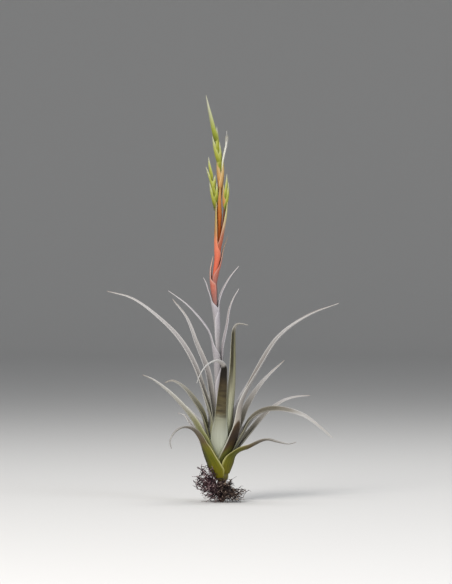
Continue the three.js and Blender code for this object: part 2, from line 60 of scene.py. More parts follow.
def valueAt(pairs, place):
    # reads a value off a few (place, value) pairs
    if place <= pairs[0][0]:
        return pairs[0][1]
    for (x0, v0), (x1, v1) in zip(pairs, pairs[1:]):
        if place <= x1:
            return mix(v0, v1, (place - x0) / (x1 - x0))
    return pairs[-1][1]


def pointOn(line, z):
    # the point of a line of rising points at one height
    i = 0
    while i < len(line) - 2 and line[i + 1][2] < z:
        i += 1
    share = (z - line[i][2]) / (line[i + 1][2] - line[i][2])
    return Vector((mix(line[i][0], line[i + 1][0], share), mix(line[i][1], line[i + 1][1], share), z))


def smoothLine(points, steps):
    # a centripetal Catmull-Rom line through the points, cut into steps of equal length, and its whole length
    knots = [Vector(p) for p in points]
    knots = [2 * knots[0] - knots[1]] + knots + [2 * knots[-1] - knots[-2]]
    cuts = 40
    fine = [knots[1]]
    for p0, p1, p2, p3 in zip(knots, knots[1:], knots[2:], knots[3:]):
        d0, d1, d2 = [max((b - a).length, 1e-6) ** 0.5 for a, b in ((p0, p1), (p1, p2), (p2, p3))]
        start = ((p1 - p0) / d0 - (p2 - p0) / (d0 + d1) + (p2 - p1) / d1) * d1
        end = ((p2 - p1) / d1 - (p3 - p1) / (d1 + d2) + (p3 - p2) / d2) * d1
        for k in range(1, cuts + 1):
            t = k / cuts
            fine.append(p1 * (2 * t**3 - 3 * t**2 + 1) + start * (t**3 - 2 * t**2 + t)
                        + p2 * (3 * t**2 - 2 * t**3) + end * (t**3 - t**2))
    reach = [0.0]
    for a, b in zip(fine, fine[1:]):
        reach.append(reach[-1] + (b - a).length)
    line, i = [], 0
    for k in range(steps + 1):
        goal = reach[-1] * k / steps
        while i < len(fine) - 2 and reach[i + 1] < goal:
            i += 1
        line.append(fine[i].lerp(fine[i + 1], (goal - reach[i]) / (reach[i + 1] - reach[i])))
    return line, reach[-1]


def compass(degrees):
    # the level direction that a turn faces, and the one to its left
    turn = math.radians(degrees)
    out = Vector((math.cos(turn), math.sin(turn), 0))
    return out, Vector((-out.y, out.x, 0))


def meshFrom(bm, name):
    mesh = bpy.data.meshes.new(name)
    bm.to_mesh(mesh)
    bm.free()
    mesh.shade_smooth()
    return mesh


def addObject(name, data):
    thing = bpy.data.objects.new(name, data)
    bpy.context.scene.collection.objects.link(thing)
    return thing


def addPiece(name, mesh, materials, node=None):
    # a finished mesh as a piece of the plant, in place of its solid if it has one
    mesh.materials.clear()
    for material in materials:
        mesh.materials.append(material)
    piece = addObject(name, mesh)
    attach(piece, "root")
    if node:
        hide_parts(node)
    return piece


# Materials

def addNode(tree, kind, inputs={}, stops=(), **settings):
    # adds one node; an input takes a value, a socket, or a node for its first output
    node = tree.nodes.new("ShaderNode" + kind)
    for name, value in settings.items():
        setattr(node, name, value)
    for name, value in inputs.items():
        if isinstance(value, bpy.types.Node):
            value = value.outputs[0]
        if isinstance(value, bpy.types.NodeSocket):
            tree.links.new(value, node.inputs[name])
        else:
            node.inputs[name].default_value = value
    for k, (place, colour) in enumerate(stops):
        elements = node.color_ramp.elements
        element = elements[k] if k < 2 else elements.new(place)
        element.position = place
        element.color = linear(colour)
    return node


def newMaterial(name):
    # an empty material, its node tree and the socket of its pieces' own coordinates
    material = bpy.data.materials.new(name)
    material.use_nodes = True
    tree = material.node_tree
    tree.nodes.clear()
    return material, tree, addNode(tree, "TexCoord").outputs["Object"]


def finishSkin(material, height, colour, settings, extra={}):
    # the end of every material: its relief, its surface and its output
    tree = material.node_tree
    bump = addNode(tree, "Bump", {
        "Height": height, "Strength": settings["bumpStrength"], "Distance": settings["bumpDepth"] * mm})
    shader = addNode(tree, "BsdfPrincipled", {
        "Base Color": colour, "Roughness": settings["roughness"], "Normal": bump, **extra})
    addNode(tree, "OutputMaterial", {"Surface": shader})
    return material


feltSettings = {
    "streaksAcross": 34,           # veins and drying streaks from margin to margin
    "streakRuns": 3,
    "streakRange": (0.35, 0.7),    # the part of the noise that shows, here and for bands and grain
    "streakShade": 0.30,
    "bandsAcross": 0.8,
    "bandRange": (0.48, 0.68),
    "grainSize": 0.9,              # scales are about 0.3 mm; drawn three times as coarse so that they show
    "grainRange": (0.3, 0.7),
    "grainShade": 0.16,
    "blotchSize": 11,
    "drift": 0.05,                 # how far blotches shift the colours along the leaf
    "driftStart": -0.025,
    "arch": 0.1,
    "archAt": 0.5,
    "marginFrom": 0.36,            # from the middle of the leaf, whose edge is at 0.5
    "marginTo": 0.49,
    "marginShare": 0.75,
    "bumpStrength": 0.5,
    "bumpDepth": 0.12,
    "roughness": (0.54, 0.74),     # a felt of dry scales scatters light; bare leaf skin is nearer 0.45
    "sheen": 0.35,
    "sheenRoughness": 0.5,
    "skinIor": 1.3,                # loose scales hold air, so they mirror less than bare skin does
}


def leafFace(name, stops, look):
    # Leaf skin under silver scales: matt, streaked lengthwise, paler at the margins where the scales are thick
    felt = {**feltSettings, **look}
    material, tree, where = newMaterial(name)
    uv = addNode(tree, "UVMap", uv_map="leaf")
    place = addNode(tree, "SeparateXYZ", {"Vector": uv})
    across, lengthwise = place.outputs["X"], place.outputs["Y"]
    blotch = addNode(tree, "TexNoise", {"Vector": where, "Scale": 1 / (felt["blotchSize"] * mm)})
    drifted = addNode(tree, "Math", {0: blotch, 1: felt["drift"], 2: felt["driftStart"]},
                      operation="MULTIPLY_ADD")
    offArch = addNode(tree, "Math", {0: across, 1: felt["archAt"]}, operation="SUBTRACT")
    squared = addNode(tree, "Math", {0: offArch, 1: offArch}, operation="MULTIPLY")
    arched = addNode(tree, "Math", {0: squared, 1: felt["arch"], 2: drifted}, operation="MULTIPLY_ADD")
    along = addNode(tree, "Math", {0: lengthwise, 1: arched}, operation="ADD")
    base = addNode(tree, "ValToRGB", {"Fac": along}, stops=stops)

    stretch = addNode(tree, "Mapping", {"Vector": uv, "Scale": (felt["streaksAcross"], felt["streakRuns"], 1)})
    streak = addNode(tree, "TexNoise", {"Vector": stretch, "Scale": 1, "Detail": 3})
    low, high = felt["streakRange"]
    streakShare = addNode(tree, "MapRange", {
        "Value": streak, "From Min": low, "From Max": high, "To Max": felt["streakShade"]})
    colour = addNode(tree, "MixRGB", {"Fac": streakShare, "Color1": base, "Color2": linear(felt["shade"])})

    if "bands" in felt:
        # faint bands across the blade, where the scales lie in waves
        wave = addNode(tree, "Mapping", {"Vector": uv, "Scale": (felt["bandsAcross"], felt["bands"], 1)})
        band = addNode(tree, "TexNoise", {"Vector": wave, "Scale": 1})
        window = addNode(tree, "ValToRGB", {"Fac": lengthwise}, stops=felt["bandWindow"])
        low, high = felt["bandRange"]
        banded = addNode(tree, "MapRange", {
            "Value": band, "From Min": low, "From Max": high, "To Max": felt["bandShade"]})
        bandShare = addNode(tree, "Math", {0: banded, 1: window}, operation="MULTIPLY")
        colour = addNode(tree, "MixRGB", {"Fac": bandShare, "Color1": colour, "Color2": linear(felt["shade"])})

    if "across" in felt:
        # painted shade: one side darker than the other, along a part of the leaf
        sides = addNode(tree, "ValToRGB", {"Fac": across}, stops=felt["across"])
        window = addNode(tree, "ValToRGB", {"Fac": lengthwise}, stops=felt["acrossWindow"])
        colour = addNode(tree, "MixRGB", {"Fac": window, "Color1": colour, "Color2": sides},
                         blend_type="MULTIPLY")

    offCentre = addNode(tree, "Math", {0: across, 1: 0.5}, operation="SUBTRACT")
    toMargin = addNode(tree, "Math", {0: offCentre}, operation="ABSOLUTE")
    marginShare = addNode(tree, "MapRange", {
        "Value": toMargin, "From Min": felt["marginFrom"], "From Max": felt["marginTo"],
        "To Max": felt["marginShare"]})
    edge = addNode(tree, "ValToRGB", {"Fac": lengthwise}, stops=felt["margin"])
    edged = addNode(tree, "MixRGB", {"Fac": marginShare, "Color1": colour, "Color2": edge})

    grain = addNode(tree, "TexNoise", {"Vector": where, "Scale": 1 / (felt["grainSize"] * mm)})
    low, high = felt["grainRange"]
    grainShare = addNode(tree, "MapRange", {
        "Value": grain, "From Min": low, "From Max": high, "To Max": felt["grainShade"]})
    felted = addNode(tree, "MixRGB", {"Fac": grainShare, "Color1": edged, "Color2": linear(felt["scales"])})

    height = addNode(tree, "Math", {0: grain, 1: streak}, operation="ADD")
    low, high = felt["roughness"]
    roughness = addNode(tree, "MapRange", {"Value": grain, "To Min": low, "To Max": high})
    return finishSkin(material, height, felted, felt, {
        "Roughness": roughness, "IOR": felt["skinIor"], "Sheen Weight": felt["sheen"],
        "Sheen Roughness": felt["sheenRoughness"]})


# How each kind of leaf and bract is coloured from foot (0) to tip (1) on its outer face, inner face and margin.
# Inner faces are mostly painted darker than outer ones, as painted shade. shade is the colour of its streaks
# and bands, and scales that of the felt on top. bands are waves of scales along the leaf, seen inside
# bandWindow.
# across is painted shade over one side, inside its window. arch bends every border between two colours round
# the point archAt between the margins. The other values stand in for feltSettings.
dryTip = "#948a80"
looks = {
    "silver": {
        "slot": "leaf_silver",
        "outer": [(0, "#5e5e12"), (0.1, "#77783a"), (0.2, "#85826a"), (0.32, "#928d86"), (0.48, "#a8a4a1"),
                  (0.7, "#b8b5b3"), (0.93, "#c0bdbb"), (1, dryTip)],
        "inner": [(0, "#5c5c18"), (0.12, "#74744a"), (0.25, "#807b70"), (0.5, "#979391"), (0.8, "#b2afad"),
                  (1, dryTip)],
        "margin": [(0, "#77783c"), (0.16, "#a4a48c"), (0.4, "#c4c1bc"), (0.95, "#cac8c6"), (1, dryTip)],
        "shade": "#5c5754", "scales": "#bab7b5", "streakShade": 0.34},
    "greenSilver": {
        "slot": "leaf_silver",
        "outer": [(0, "#4a4c04"), (0.14, "#5e600a"), (0.28, "#707228"), (0.42, "#868458"), (0.56, "#a09c92"),
                  (0.74, "#b2afaa"), (0.93, "#bab7b3"), (1, dryTip)],
        "inner": [(0, "#4c4e0c"), (0.25, "#6b6c34"), (0.5, "#8c887a"), (0.8, "#a9a6a1"), (1, dryTip)],
        "margin": [(0, "#6c6e20"), (0.25, "#9c9e66"), (0.5, "#c0beb0"), (0.95, "#c8c6c2"), (1, dryTip)],
        "shade": "#45441e", "scales": "#b0ada0", "streakShade": 0.38},
    # darker low on the blade, partly its own olive and partly painted shade
    "duskySilver": {
        "slot": "leaf_silver",
        "outer": [(0, "#45480a"), (0.12, "#5a5a20"), (0.24, "#5e593c"), (0.38, "#6b6553"), (0.5, "#837d72"),
                  (0.64, "#a8a5a1"), (0.93, "#c0bdbb"), (1, dryTip)],
        "inner": [(0, "#4c4e10"), (0.15, "#5a582e"), (0.3, "#5e5a46"), (0.5, "#7f7a72"), (0.8, "#aeabaa"),
                  (1, dryTip)],
        "margin": [(0, "#6b6c2a"), (0.2, "#8f8c70"), (0.45, "#aca89e"), (0.95, "#c8c6c4"), (1, dryTip)],
        "shade": "#3c3626", "scales": "#aaa69e", "streakShade": 0.4},
    # the outer face turns olive-brown up the blade, partly its own colour and partly painted shade; the dark
    # stretch of outer face and margin just below the arch is painted shade under the arch
    "olive": {
        "slot": "leaf_olive",
        "outer": [(0, "#8f936a"), (0.1, "#b0b4a0"), (0.2, "#a6a898"), (0.3, "#8a8a76"), (0.335, "#5b5239"),
                  (0.42, "#50472c"), (0.54, "#3a2e1a"), (0.6, "#0e0702"), (0.668, "#0c0501"), (0.69, "#a39d97"),
                  (0.8, "#bfbdba"), (1, "#c4c2c0")],
        "inner": [(0, "#7c7c50"), (0.3, "#7f7a64"), (0.55, "#97918a"), (0.66, "#bfbdb9"), (0.95, "#c4c2c0"),
                  (1, "#a39a8e")],
        "margin": [(0, "#98a070"), (0.25, "#b8bcac"), (0.5, "#98947a"), (0.62, "#5b5440"), (0.7, "#c4c2be"),
                   (1, "#c4c2be")],
        "shade": "#1f170c", "scales": "#98947f", "bands": 44, "bandShade": 0.8, "grainShade": 0.05,
        "bandWindow": [(0.28, "#000000"), (0.34, "#ffffff"), (0.52, "#ffffff"), (0.6, "#000000")], "sheen": 0,
        "arch": 0.02, "streakShade": 0.16},
    # the darker olive stretch below the tip is partly its own colour and partly painted shade under its curl;
    # across is painted shade over one side of the upper blade
    "paleOlive": {
        "slot": "leaf_olive",
        "outer": [(0, "#8f936a"), (0.12, "#a8aa8c"), (0.3, "#b4b598"), (0.42, "#b0ae92"), (0.55, "#a8a58a"),
                  (0.7, "#8f8c70"), (0.84, "#847f6a"), (0.9, "#b2aea8"), (1, "#aca8a0")],
        "inner": [(0, "#7c7c50"), (0.3, "#7f7a64"), (0.7, "#97918a"), (0.88, "#bfbdb9"), (1, "#a39a8e")],
        "margin": [(0, "#98a070"), (0.2, "#c0c2ac"), (0.6, "#c6c5b6"), (1, "#b8b4ac")],
        "shade": "#2a2410", "scales": "#a5a490", "sheen": 0, "streakShade": 0.7, "streakRuns": 2,
        "grainShade": 0.06, "marginFrom": 0.4,
        "across": [(0.02, "#ffffff"), (0.1, "#6b6450"), (0.32, "#5e5844"), (0.46, "#ececdf"), (0.8, "#ffffff")],
        "acrossWindow": [(0.42, "#000000"), (0.62, "#ffffff"), (0.84, "#ffffff"), (0.9, "#000000")]},
    # the dark brown patch low on the outer face is partly the sheath's own brown and partly painted shade,
    # where it shows between two margins; the darker inner face is painted shade
    "brownSheath": {
        "slot": "leaf_silver",
        "outer": [(0, "#464a02"), (0.05, "#55560e"), (0.08, "#45320e"), (0.12, "#241504"), (0.165, "#302008"),
                  (0.19, "#443216"), (0.202, "#a49c90"), (0.3, "#9a958f"), (0.5, "#a5a29f"), (0.93, "#c0bdbb"),
                  (1, dryTip)],
        "inner": [(0, "#5c5c40"), (0.15, "#554c42"), (0.3, "#5e554d"), (0.45, "#776f6a"), (0.65, "#989593"),
                  (0.85, "#b4b2b0"), (1, dryTip)],
        "margin": [(0, "#8e9060"), (0.08, "#c2c0b0"), (0.5, "#c6c4c0"), (1, "#c0bebc")],
        "shade": "#3c2a18", "scales": "#a09a90", "marginFrom": 0.43, "marginShare": 0.95, "arch": 0.4,
        "archAt": 0.32, "drift": 0.006, "streakShade": 0.25, "sheen": 0.05, "grainShade": 0.06},
    # across is painted shade over one edge, low on the leaf
    "yellowOlive": {
        "slot": "leaf_green",
        "outer": [(0, "#807610"), (0.1, "#767010"), (0.24, "#66680a"), (0.34, "#706c20"), (0.43, "#66553a"),
                  (0.54, "#70665a"), (0.72, "#918b85"), (0.93, "#b4b2b0"), (1, dryTip)],
        "inner": [(0, "#56580c"), (0.25, "#66681a"), (0.4, "#6b6444"), (0.6, "#7f796f"), (0.8, "#9c9894"),
                  (0.93, "#b2b0ae"), (1, dryTip)],
        "margin": [(0, "#8c8424"), (0.16, "#c0ba7c"), (0.34, "#b4ae7c"), (0.48, "#948e7e"), (0.75, "#aaa7a3"),
                   (1, "#b8b6b4")],
        "shade": "#181a02", "scales": "#76783a", "marginShare": 0.8, "marginFrom": 0.41, "streakShade": 0.55,
        "sheen": 0, "grainShade": 0.08, "across": [(0, "#3c3c30"), (0.3, "#98988c"), (0.62, "#ffffff")],
        "acrossWindow": [(0.3, "#ffffff"), (0.5, "#000000")]},
    "lilacBract": {
        "slot": "bract_lilac",
        "outer": [(0, "#94908e"), (0.4, "#a29da1"), (0.65, "#b4afb3"), (0.9, "#bdbabb"), (1, "#a1978f")],
        "inner": [(0, "#827c7e"), (0.6, "#989397"), (1, "#a1978f")],
        "margin": [(0, "#bcb8ba"), (1, "#c8c5c7")], "shade": "#746c73", "scales": "#c2bec1"},
    "coralBract": {
        "slot": "bract_coral",
        "outer": [(0, "#d06e54"), (0.14, "#cc6048"), (0.28, "#d06a50"), (0.42, "#d87c60"), (0.5, "#d6825e"),
                  (0.57, "#b88250"), (0.66, "#a88c56"), (0.8, "#a29a60"), (1, "#a2a470")],
        "inner": [(0, "#8a3420"), (0.45, "#8a3c22"), (0.7, "#7c5a34"), (1, "#8f8c5c")],
        "margin": [(0, "#c86a54"), (0.45, "#d48a70"), (0.7, "#c0ae88"), (1, "#b4b488")],
        "shade": "#94341c", "scales": "#d08468", "sheen": 0, "streakShade": 0.3},
    "pinkBract": {
        "slot": "bract_coral",
        "outer": [(0, "#74605f"), (0.16, "#8c5c54"), (0.3, "#a46052"), (0.4, "#b66450"), (0.5, "#c46c58"),
                  (0.62, "#a88472"), (0.74, "#8c8672"), (1, "#848474")],
        "inner": [(0, "#7c3c30"), (0.45, "#7f2c1c"), (0.7, "#7c5444"), (1, "#8a8470")],
        "margin": [(0, "#947474"), (0.4, "#c48c7e"), (0.65, "#b89e90"), (1, "#949080")],
        "shade": "#944434", "scales": "#cc9888", "sheen": 0, "streakShade": 0.3},
    "salmonBract": {
        "slot": "bract_salmon",
        "outer": [(0, "#bc5036"), (0.25, "#ac4c32"), (0.45, "#a4644e"), (0.62, "#b8a280"), (0.78, "#b8b87c"),
                  (1, "#b4b47c")],
        "inner": [(0, "#8a3c22"), (0.5, "#9c5c34"), (1, "#a09a60")],
        "margin": [(0, "#c47c64"), (0.5, "#c49c86"), (0.75, "#c8c49a"), (1, "#c0c094")],
        "shade": "#9c4c24", "scales": "#cca88c", "sheen": 0, "streakShade": 0.35},
    "tanBract": {
        "slot": "bract_salmon",
        "outer": [(0, "#943408"), (0.25, "#a4480c"), (0.5, "#b45c18"), (0.72, "#b87430"), (0.9, "#bc9458"),
                  (1, "#b09860")],
        "inner": [(0, "#7c340c"), (0.6, "#885a2c"), (1, "#84744a")],
        "margin": [(0, "#a8562c"), (0.6, "#c08450"), (1, "#bca070")],
        "shade": "#6b3004", "scales": "#bc8854", "sheen": 0, "streakShade": 0.45},
    "peachBract": {
        "slot": "bract_salmon",
        "outer": [(0, "#a4581e"), (0.25, "#b0783e"), (0.5, "#b89058"), (0.75, "#bca06a"), (0.92, "#aea670"),
                  (1, "#9c9c60")],
        "inner": [(0, "#8a4c1c"), (0.6, "#946c38"), (1, "#8f8452")],
        "margin": [(0, "#bc8050"), (0.5, "#c8ac80"), (1, "#b8b484")],
        "shade": "#8c5824", "scales": "#c0a878", "sheen": 0, "streakShade": 0.4},
    # the dark foot is partly its own deep green and partly painted shade between the bracts
    "limeBract": {
        "slot": "bract_lime",
        "outer": [(0, "#2c3002"), (0.14, "#4a4c02"), (0.28, "#7e801a"), (0.45, "#a0a23a"), (0.64, "#b0b25a"),
                  (0.8, "#b8ba88"), (0.92, "#bcbca8"), (1, "#b4b2a4")],
        "inner": [(0, "#46500a"), (0.6, "#6f7426"), (1, "#98997c")],
        "margin": [(0, "#5c640c"), (0.25, "#9ca24a"), (0.7, "#b8bc84"), (1, "#c0bfb0")],
        "shade": "#465004", "scales": "#a2aa5c", "sheen": 0, "streakShade": 0.5},
}
# the same skins with another side in painted shade, paler tips, more brown low down, or darker olive low down
# as painted shade
looks["yellowOliveRight"] = {
    **looks["yellowOlive"], "across": [(0, "#ffffff"), (0.55, "#d0d0c8"), (1, "#7c7c70")]}
looks["creamPinkBract"] = {
    **looks["pinkBract"],
    "outer": looks["pinkBract"]["outer"][:4] + [(0.55, "#c48c7c"), (0.7, "#c4a294"), (1, "#bcaa9c")],
    "margin": [(0, "#947474"), (0.4, "#c48c7e"), (0.6, "#cbb0a2"), (1, "#c4b4a6")]}
# its dark foot, as on limeBract, is partly its own deep green and partly painted shade between the bracts
looks["paleTipBract"] = {
    **looks["limeBract"],
    "outer": [(0, "#2c3002"), (0.14, "#464c02"), (0.26, "#767e1a"), (0.38, "#949c3c"), (0.52, "#a6aa70"),
              (0.66, "#b0b292"), (0.85, "#bab9ac"), (1, "#b4b2a4")]}
looks["brownArch"] = {
    **looks["duskySilver"],
    "outer": [(0, "#45480a"), (0.12, "#565620"), (0.24, "#58543a"), (0.36, "#4c4736"), (0.54, "#565040"),
              (0.64, "#827d76"), (0.74, "#b2b0ad"), (1, "#a8a49f")],
    "inner": [(0, "#4c4e10"), (0.15, "#565428"), (0.3, "#524d3c"), (0.54, "#565040"), (0.64, "#7c776e"),
              (0.74, "#b2b0ad"), (1, "#a8a49f")],
    "margin": [(0, "#6b6c2a"), (0.2, "#8f8c70"), (0.5, "#98948a"), (0.68, "#c0beba"), (1, "#b4b2ae")]}
looks["shadedOlive"] = {
    **looks["duskySilver"],
    "outer": [(0, "#45480a"), (0.15, "#50501a"), (0.3, "#585632"), (0.45, "#625f46"), (0.6, "#74715f"),
              (0.8, "#9c9993"), (1, "#a09a92")],
    "inner": [(0, "#4c4e10"), (0.15, "#50501c"), (0.3, "#565434"), (0.6, "#706d5c"), (0.85, "#94918a"),
              (1, dryTip)],
    "margin": [(0, "#6b6c2a"), (0.25, "#8c8a62"), (0.55, "#98957f"), (0.85, "#aca9a2"), (1, dryTip)],
    "scales": "#8c8a74"}

finishes = {}
for lookName, look in looks.items():
    finishes[lookName] = [leafFace(lookName + face.capitalize() + "Skin", look[face], look)
                          for face in ("outer", "inner", "margin")]
print("leaf and bract skins made:", len(finishes))


# The stem and its two branches. All sheaths wrap these lines.

stemLine = [(-1.2, 0, 22), (-1.5, 0, 30), (-2.2, 0, 50), (-3.6, 0, 80), (-5.2, 0, 118), (-5.8, 0, 150),
            (-6.3, 0, 178), (-7.8, 0, 200), (-9.2, 0, 216), (-7.7, 0, 229), (-5.7, 0, 242),
            (-4.7, 0, 256), (-4.1, 0, 272), (-3.7, 0, 292), (-2.9, 0, 318), (-2.9, 0, 333),
            (-4.6, 0, 348), (-6.8, 0, 362), (-8.4, 0, 371)]
leftBranch = [(-6.2, 0, 246), (-7.8, -1.8, 262), (-7.4, -2.8, 280), (-7.2, -3, 298), (-9.6, -3, 314),
              (-11.6, -3, 328)]
rightBranch = [(-5.0, 0, 250), (-1.9, -1.8, 266), (0.4, -2.8, 282), (1.8, -3, 297), (2.4, -3, 309)]
stemRadii = [(22, 6.0), (26, 6.9), (32, 7.0), (50, 5.0), (62, 3.6), (85, 2.2), (120, 1.7), (300, 1.4),
             (371, 0.9)]
branchRadius = 0.9

# One leaf or bract. The same line and sections as its solid, with finer sections, veins and thin margins.

surfaceSettings = {
    "columns": 22,
    "stations": 56,
    "stationEase": 1.1,              # above 1, sections lie closer together at the foot
    "curveSteps": 224,
    "footShares": (0, 0.28, 0.56),   # heights up the sheath where the line keeps to the stem
    "rollFrom": 0.6,                 # the blade starts to roll at this share of the sheath
    "tipWidth": 0.7,
    "tightestBend": 0.25,
    "marginThickness": 0.35,         # share of the middle's thickness
    "veins": 9,
    "veinDepth": 0.05,
    "veinEdge": 0.8,                 # veins flatten from here to the margin
    "veinTip": 0.75,                 # and from here to the tip
    "marginWave": 0.25,
    "waveEdge": 0.5,
    "wavesAlong": 14,
    "folds": [(0, 58), (0.45, 66), (0.8, 70), (1, 45)],   # half the blade's arc in degrees, from foot to tip
    "ease": (0.5, 1.2),              # shares of the sheath between which it turns into the blade
    "taper": 0.85,
    "roll": 0,
    "centred": 1,                    # how far the blade's line runs through the middle of its fold
    "footShare": 1,                  # how much of its wrap the foot of the sheath has
    "footEase": (-0.1, 1.05),        # shares of the sheath between which it gets the rest
    "look": "silver",
}


def leafSections(spec):
    # each section across the leaf: where its arc is centred, which way it faces, its radius and half its angle
    outward, side = compass(spec["facing"])
    sheath, (start, end), (low, high) = spec["sheath"], spec["ease"], spec["footEase"]
    foot = []
    for share in spec["footShares"]:
        z = spec["bottom"] + share * sheath
        foot.append(pointOn(spec["axis"], z) + outward * spec["seat"](z))
    steps, stations = spec["curveSteps"], spec["stations"]
    line, length = smoothLine([*foot, *spec["blade"]], steps)
    kept = {round(steps * (i / stations) ** spec["stationEase"]) for i in range(stations + 1)}
    half, halfway = spec["thickness"] / 2, 0.5 * (length + sheath)
    sections = []
    inside = -outward
    for i, point in enumerate(line):
        tangent = (line[min(i + 1, steps)] - line[max(i - 1, 0)]).normalized()
        inside = (inside - tangent * inside.dot(tangent)).normalized()
        if i not in kept:
            continue
        place = length * i / steps
        blend = smooth(place, start * sheath, end * sheath)
        bladeShare = min(max((place - sheath) / (length - sheath), 0), 1)
        rolled = smooth(place, spec["rollFrom"] * sheath, halfway) * math.radians(spec["roll"])
        bladeInside = Matrix.Rotation(rolled, 3, tangent) @ inside
        across = side.lerp(bladeInside.cross(tangent), blend).normalized()
        inward = (-outward).lerp(bladeInside, blend)
        inward = (inward - across * inward.dot(across)).normalized()
        toAxis = (pointOn(spec["axis"], point.z) - point).to_2d().length
        width = spec["width"] * (1 - bladeShare) ** spec["taper"] + spec["tipWidth"] * bladeShare
        fold = math.radians(valueAt(spec["folds"], bladeShare))
        bladeFold = min(fold, width / 2 / (half + spec["tightestBend"]))
        sheathWidth = mix(spec["sheathWidth"], spec["width"], min(place / sheath, 1) ** 2)
        sheathFold = min(math.radians(spec["wrap"]), sheathWidth / 2 / toAxis)
        spread = mix(sheathFold, bladeFold, blend)
        spread *= mix(spec["footShare"], 1, smooth(place, low * sheath, high * sheath))
        radius = mix(toAxis, width / 2 / bladeFold, blend)
        lift = spec["centred"] * blend * 0.5 * radius * (1 - math.cos(spread))
        centre = point + inward * (radius - lift)
        sections.append((centre, inward, across, radius, spread, bladeShare, blend, place / length))
    return sections


def leafMesh(name, spec):
    sections = leafSections(spec)
    columns = spec["columns"]
    last = len(sections) - 1
    bm = bmesh.new()
    bmesh.ops.create_grid(bm, x_segments=columns, y_segments=last, size=1)
    weights = bm.verts.layers.deform.verify()
    for v in bm.verts:
        u, along = (v.co.x + 1) / 2, (v.co.y + 1) / 2
        centre, inward, across, radius, spread, bladeShare, blend, share = sections[round(along * last)]
        angle = spread * (2 * u - 1)
        direction = -inward * math.cos(angle) + across * math.sin(angle)
        edge = abs(2 * u - 1)
        flat = 1 - smooth(edge, spec["veinEdge"], 1)
        relief = spec["veinDepth"] * math.cos(2 * math.pi * spec["veins"] * u) * flat
        relief *= 1 - smooth(bladeShare, spec["veinTip"], 1)
        wave = spec["marginWave"] * blend * smooth(edge, spec["waveEdge"], 1)
        relief += wave * noise.noise(Vector((u * 2, share * spec["wavesAlong"], spec["facing"])))
        v[weights][0] = 1 - edge**3
        v.co = (centre + direction * (radius + relief)) * mm
        v.normal = direction
    mesh = meshFrom(bm, name)
    # the grid's own order gives each corner its share across and along
    shares = mesh.uv_layers.new(name="leaf").data
    for loop in mesh.loops:
        row, column = divmod(loop.vertex_index, columns + 1)
        shares[loop.index].uv = (column / columns, sections[row][7])
    return mesh


def leafPiece(own):
    # one leaf or bract, whose own values stand over those that all of them share
    spec = {**surfaceSettings, **own}
    name, look = "grown_" + spec["node"], spec["look"]
    piece = addPiece(name, leafMesh(name, spec), finishes[look], spec["node"])
    piece.vertex_groups.new(name="middle")
    wall = piece.modifiers.new("wall", "SOLIDIFY")
    wall.thickness = spec["thickness"] * mm
    wall.offset = 0
    wall.vertex_group = "middle"
    wall.thickness_vertex_group = spec["marginThickness"]
    wall.material_offset = 1
    wall.material_offset_rim = 2
    wall.use_even_offset = False
    rounding = piece.modifiers.new("rounding", "SUBSURF")
    rounding.levels = rounding.render_levels = 1


# The rosette, from the youngest leaf to the oldest

nestSettings = {
    "crownTop": 58,
    "crownBottom": 24,
    "layerSpacing": 1.15,
    "clearance": 0.3,
    "leanStart": 0.1,      # above the crown the sheaths lean out, the outer ones more
    "leanStep": 0.04,
    "wrap": 64,
    "sheathWidth": 21,
    "sheath": 34,
    "thickness": 0.7,
}

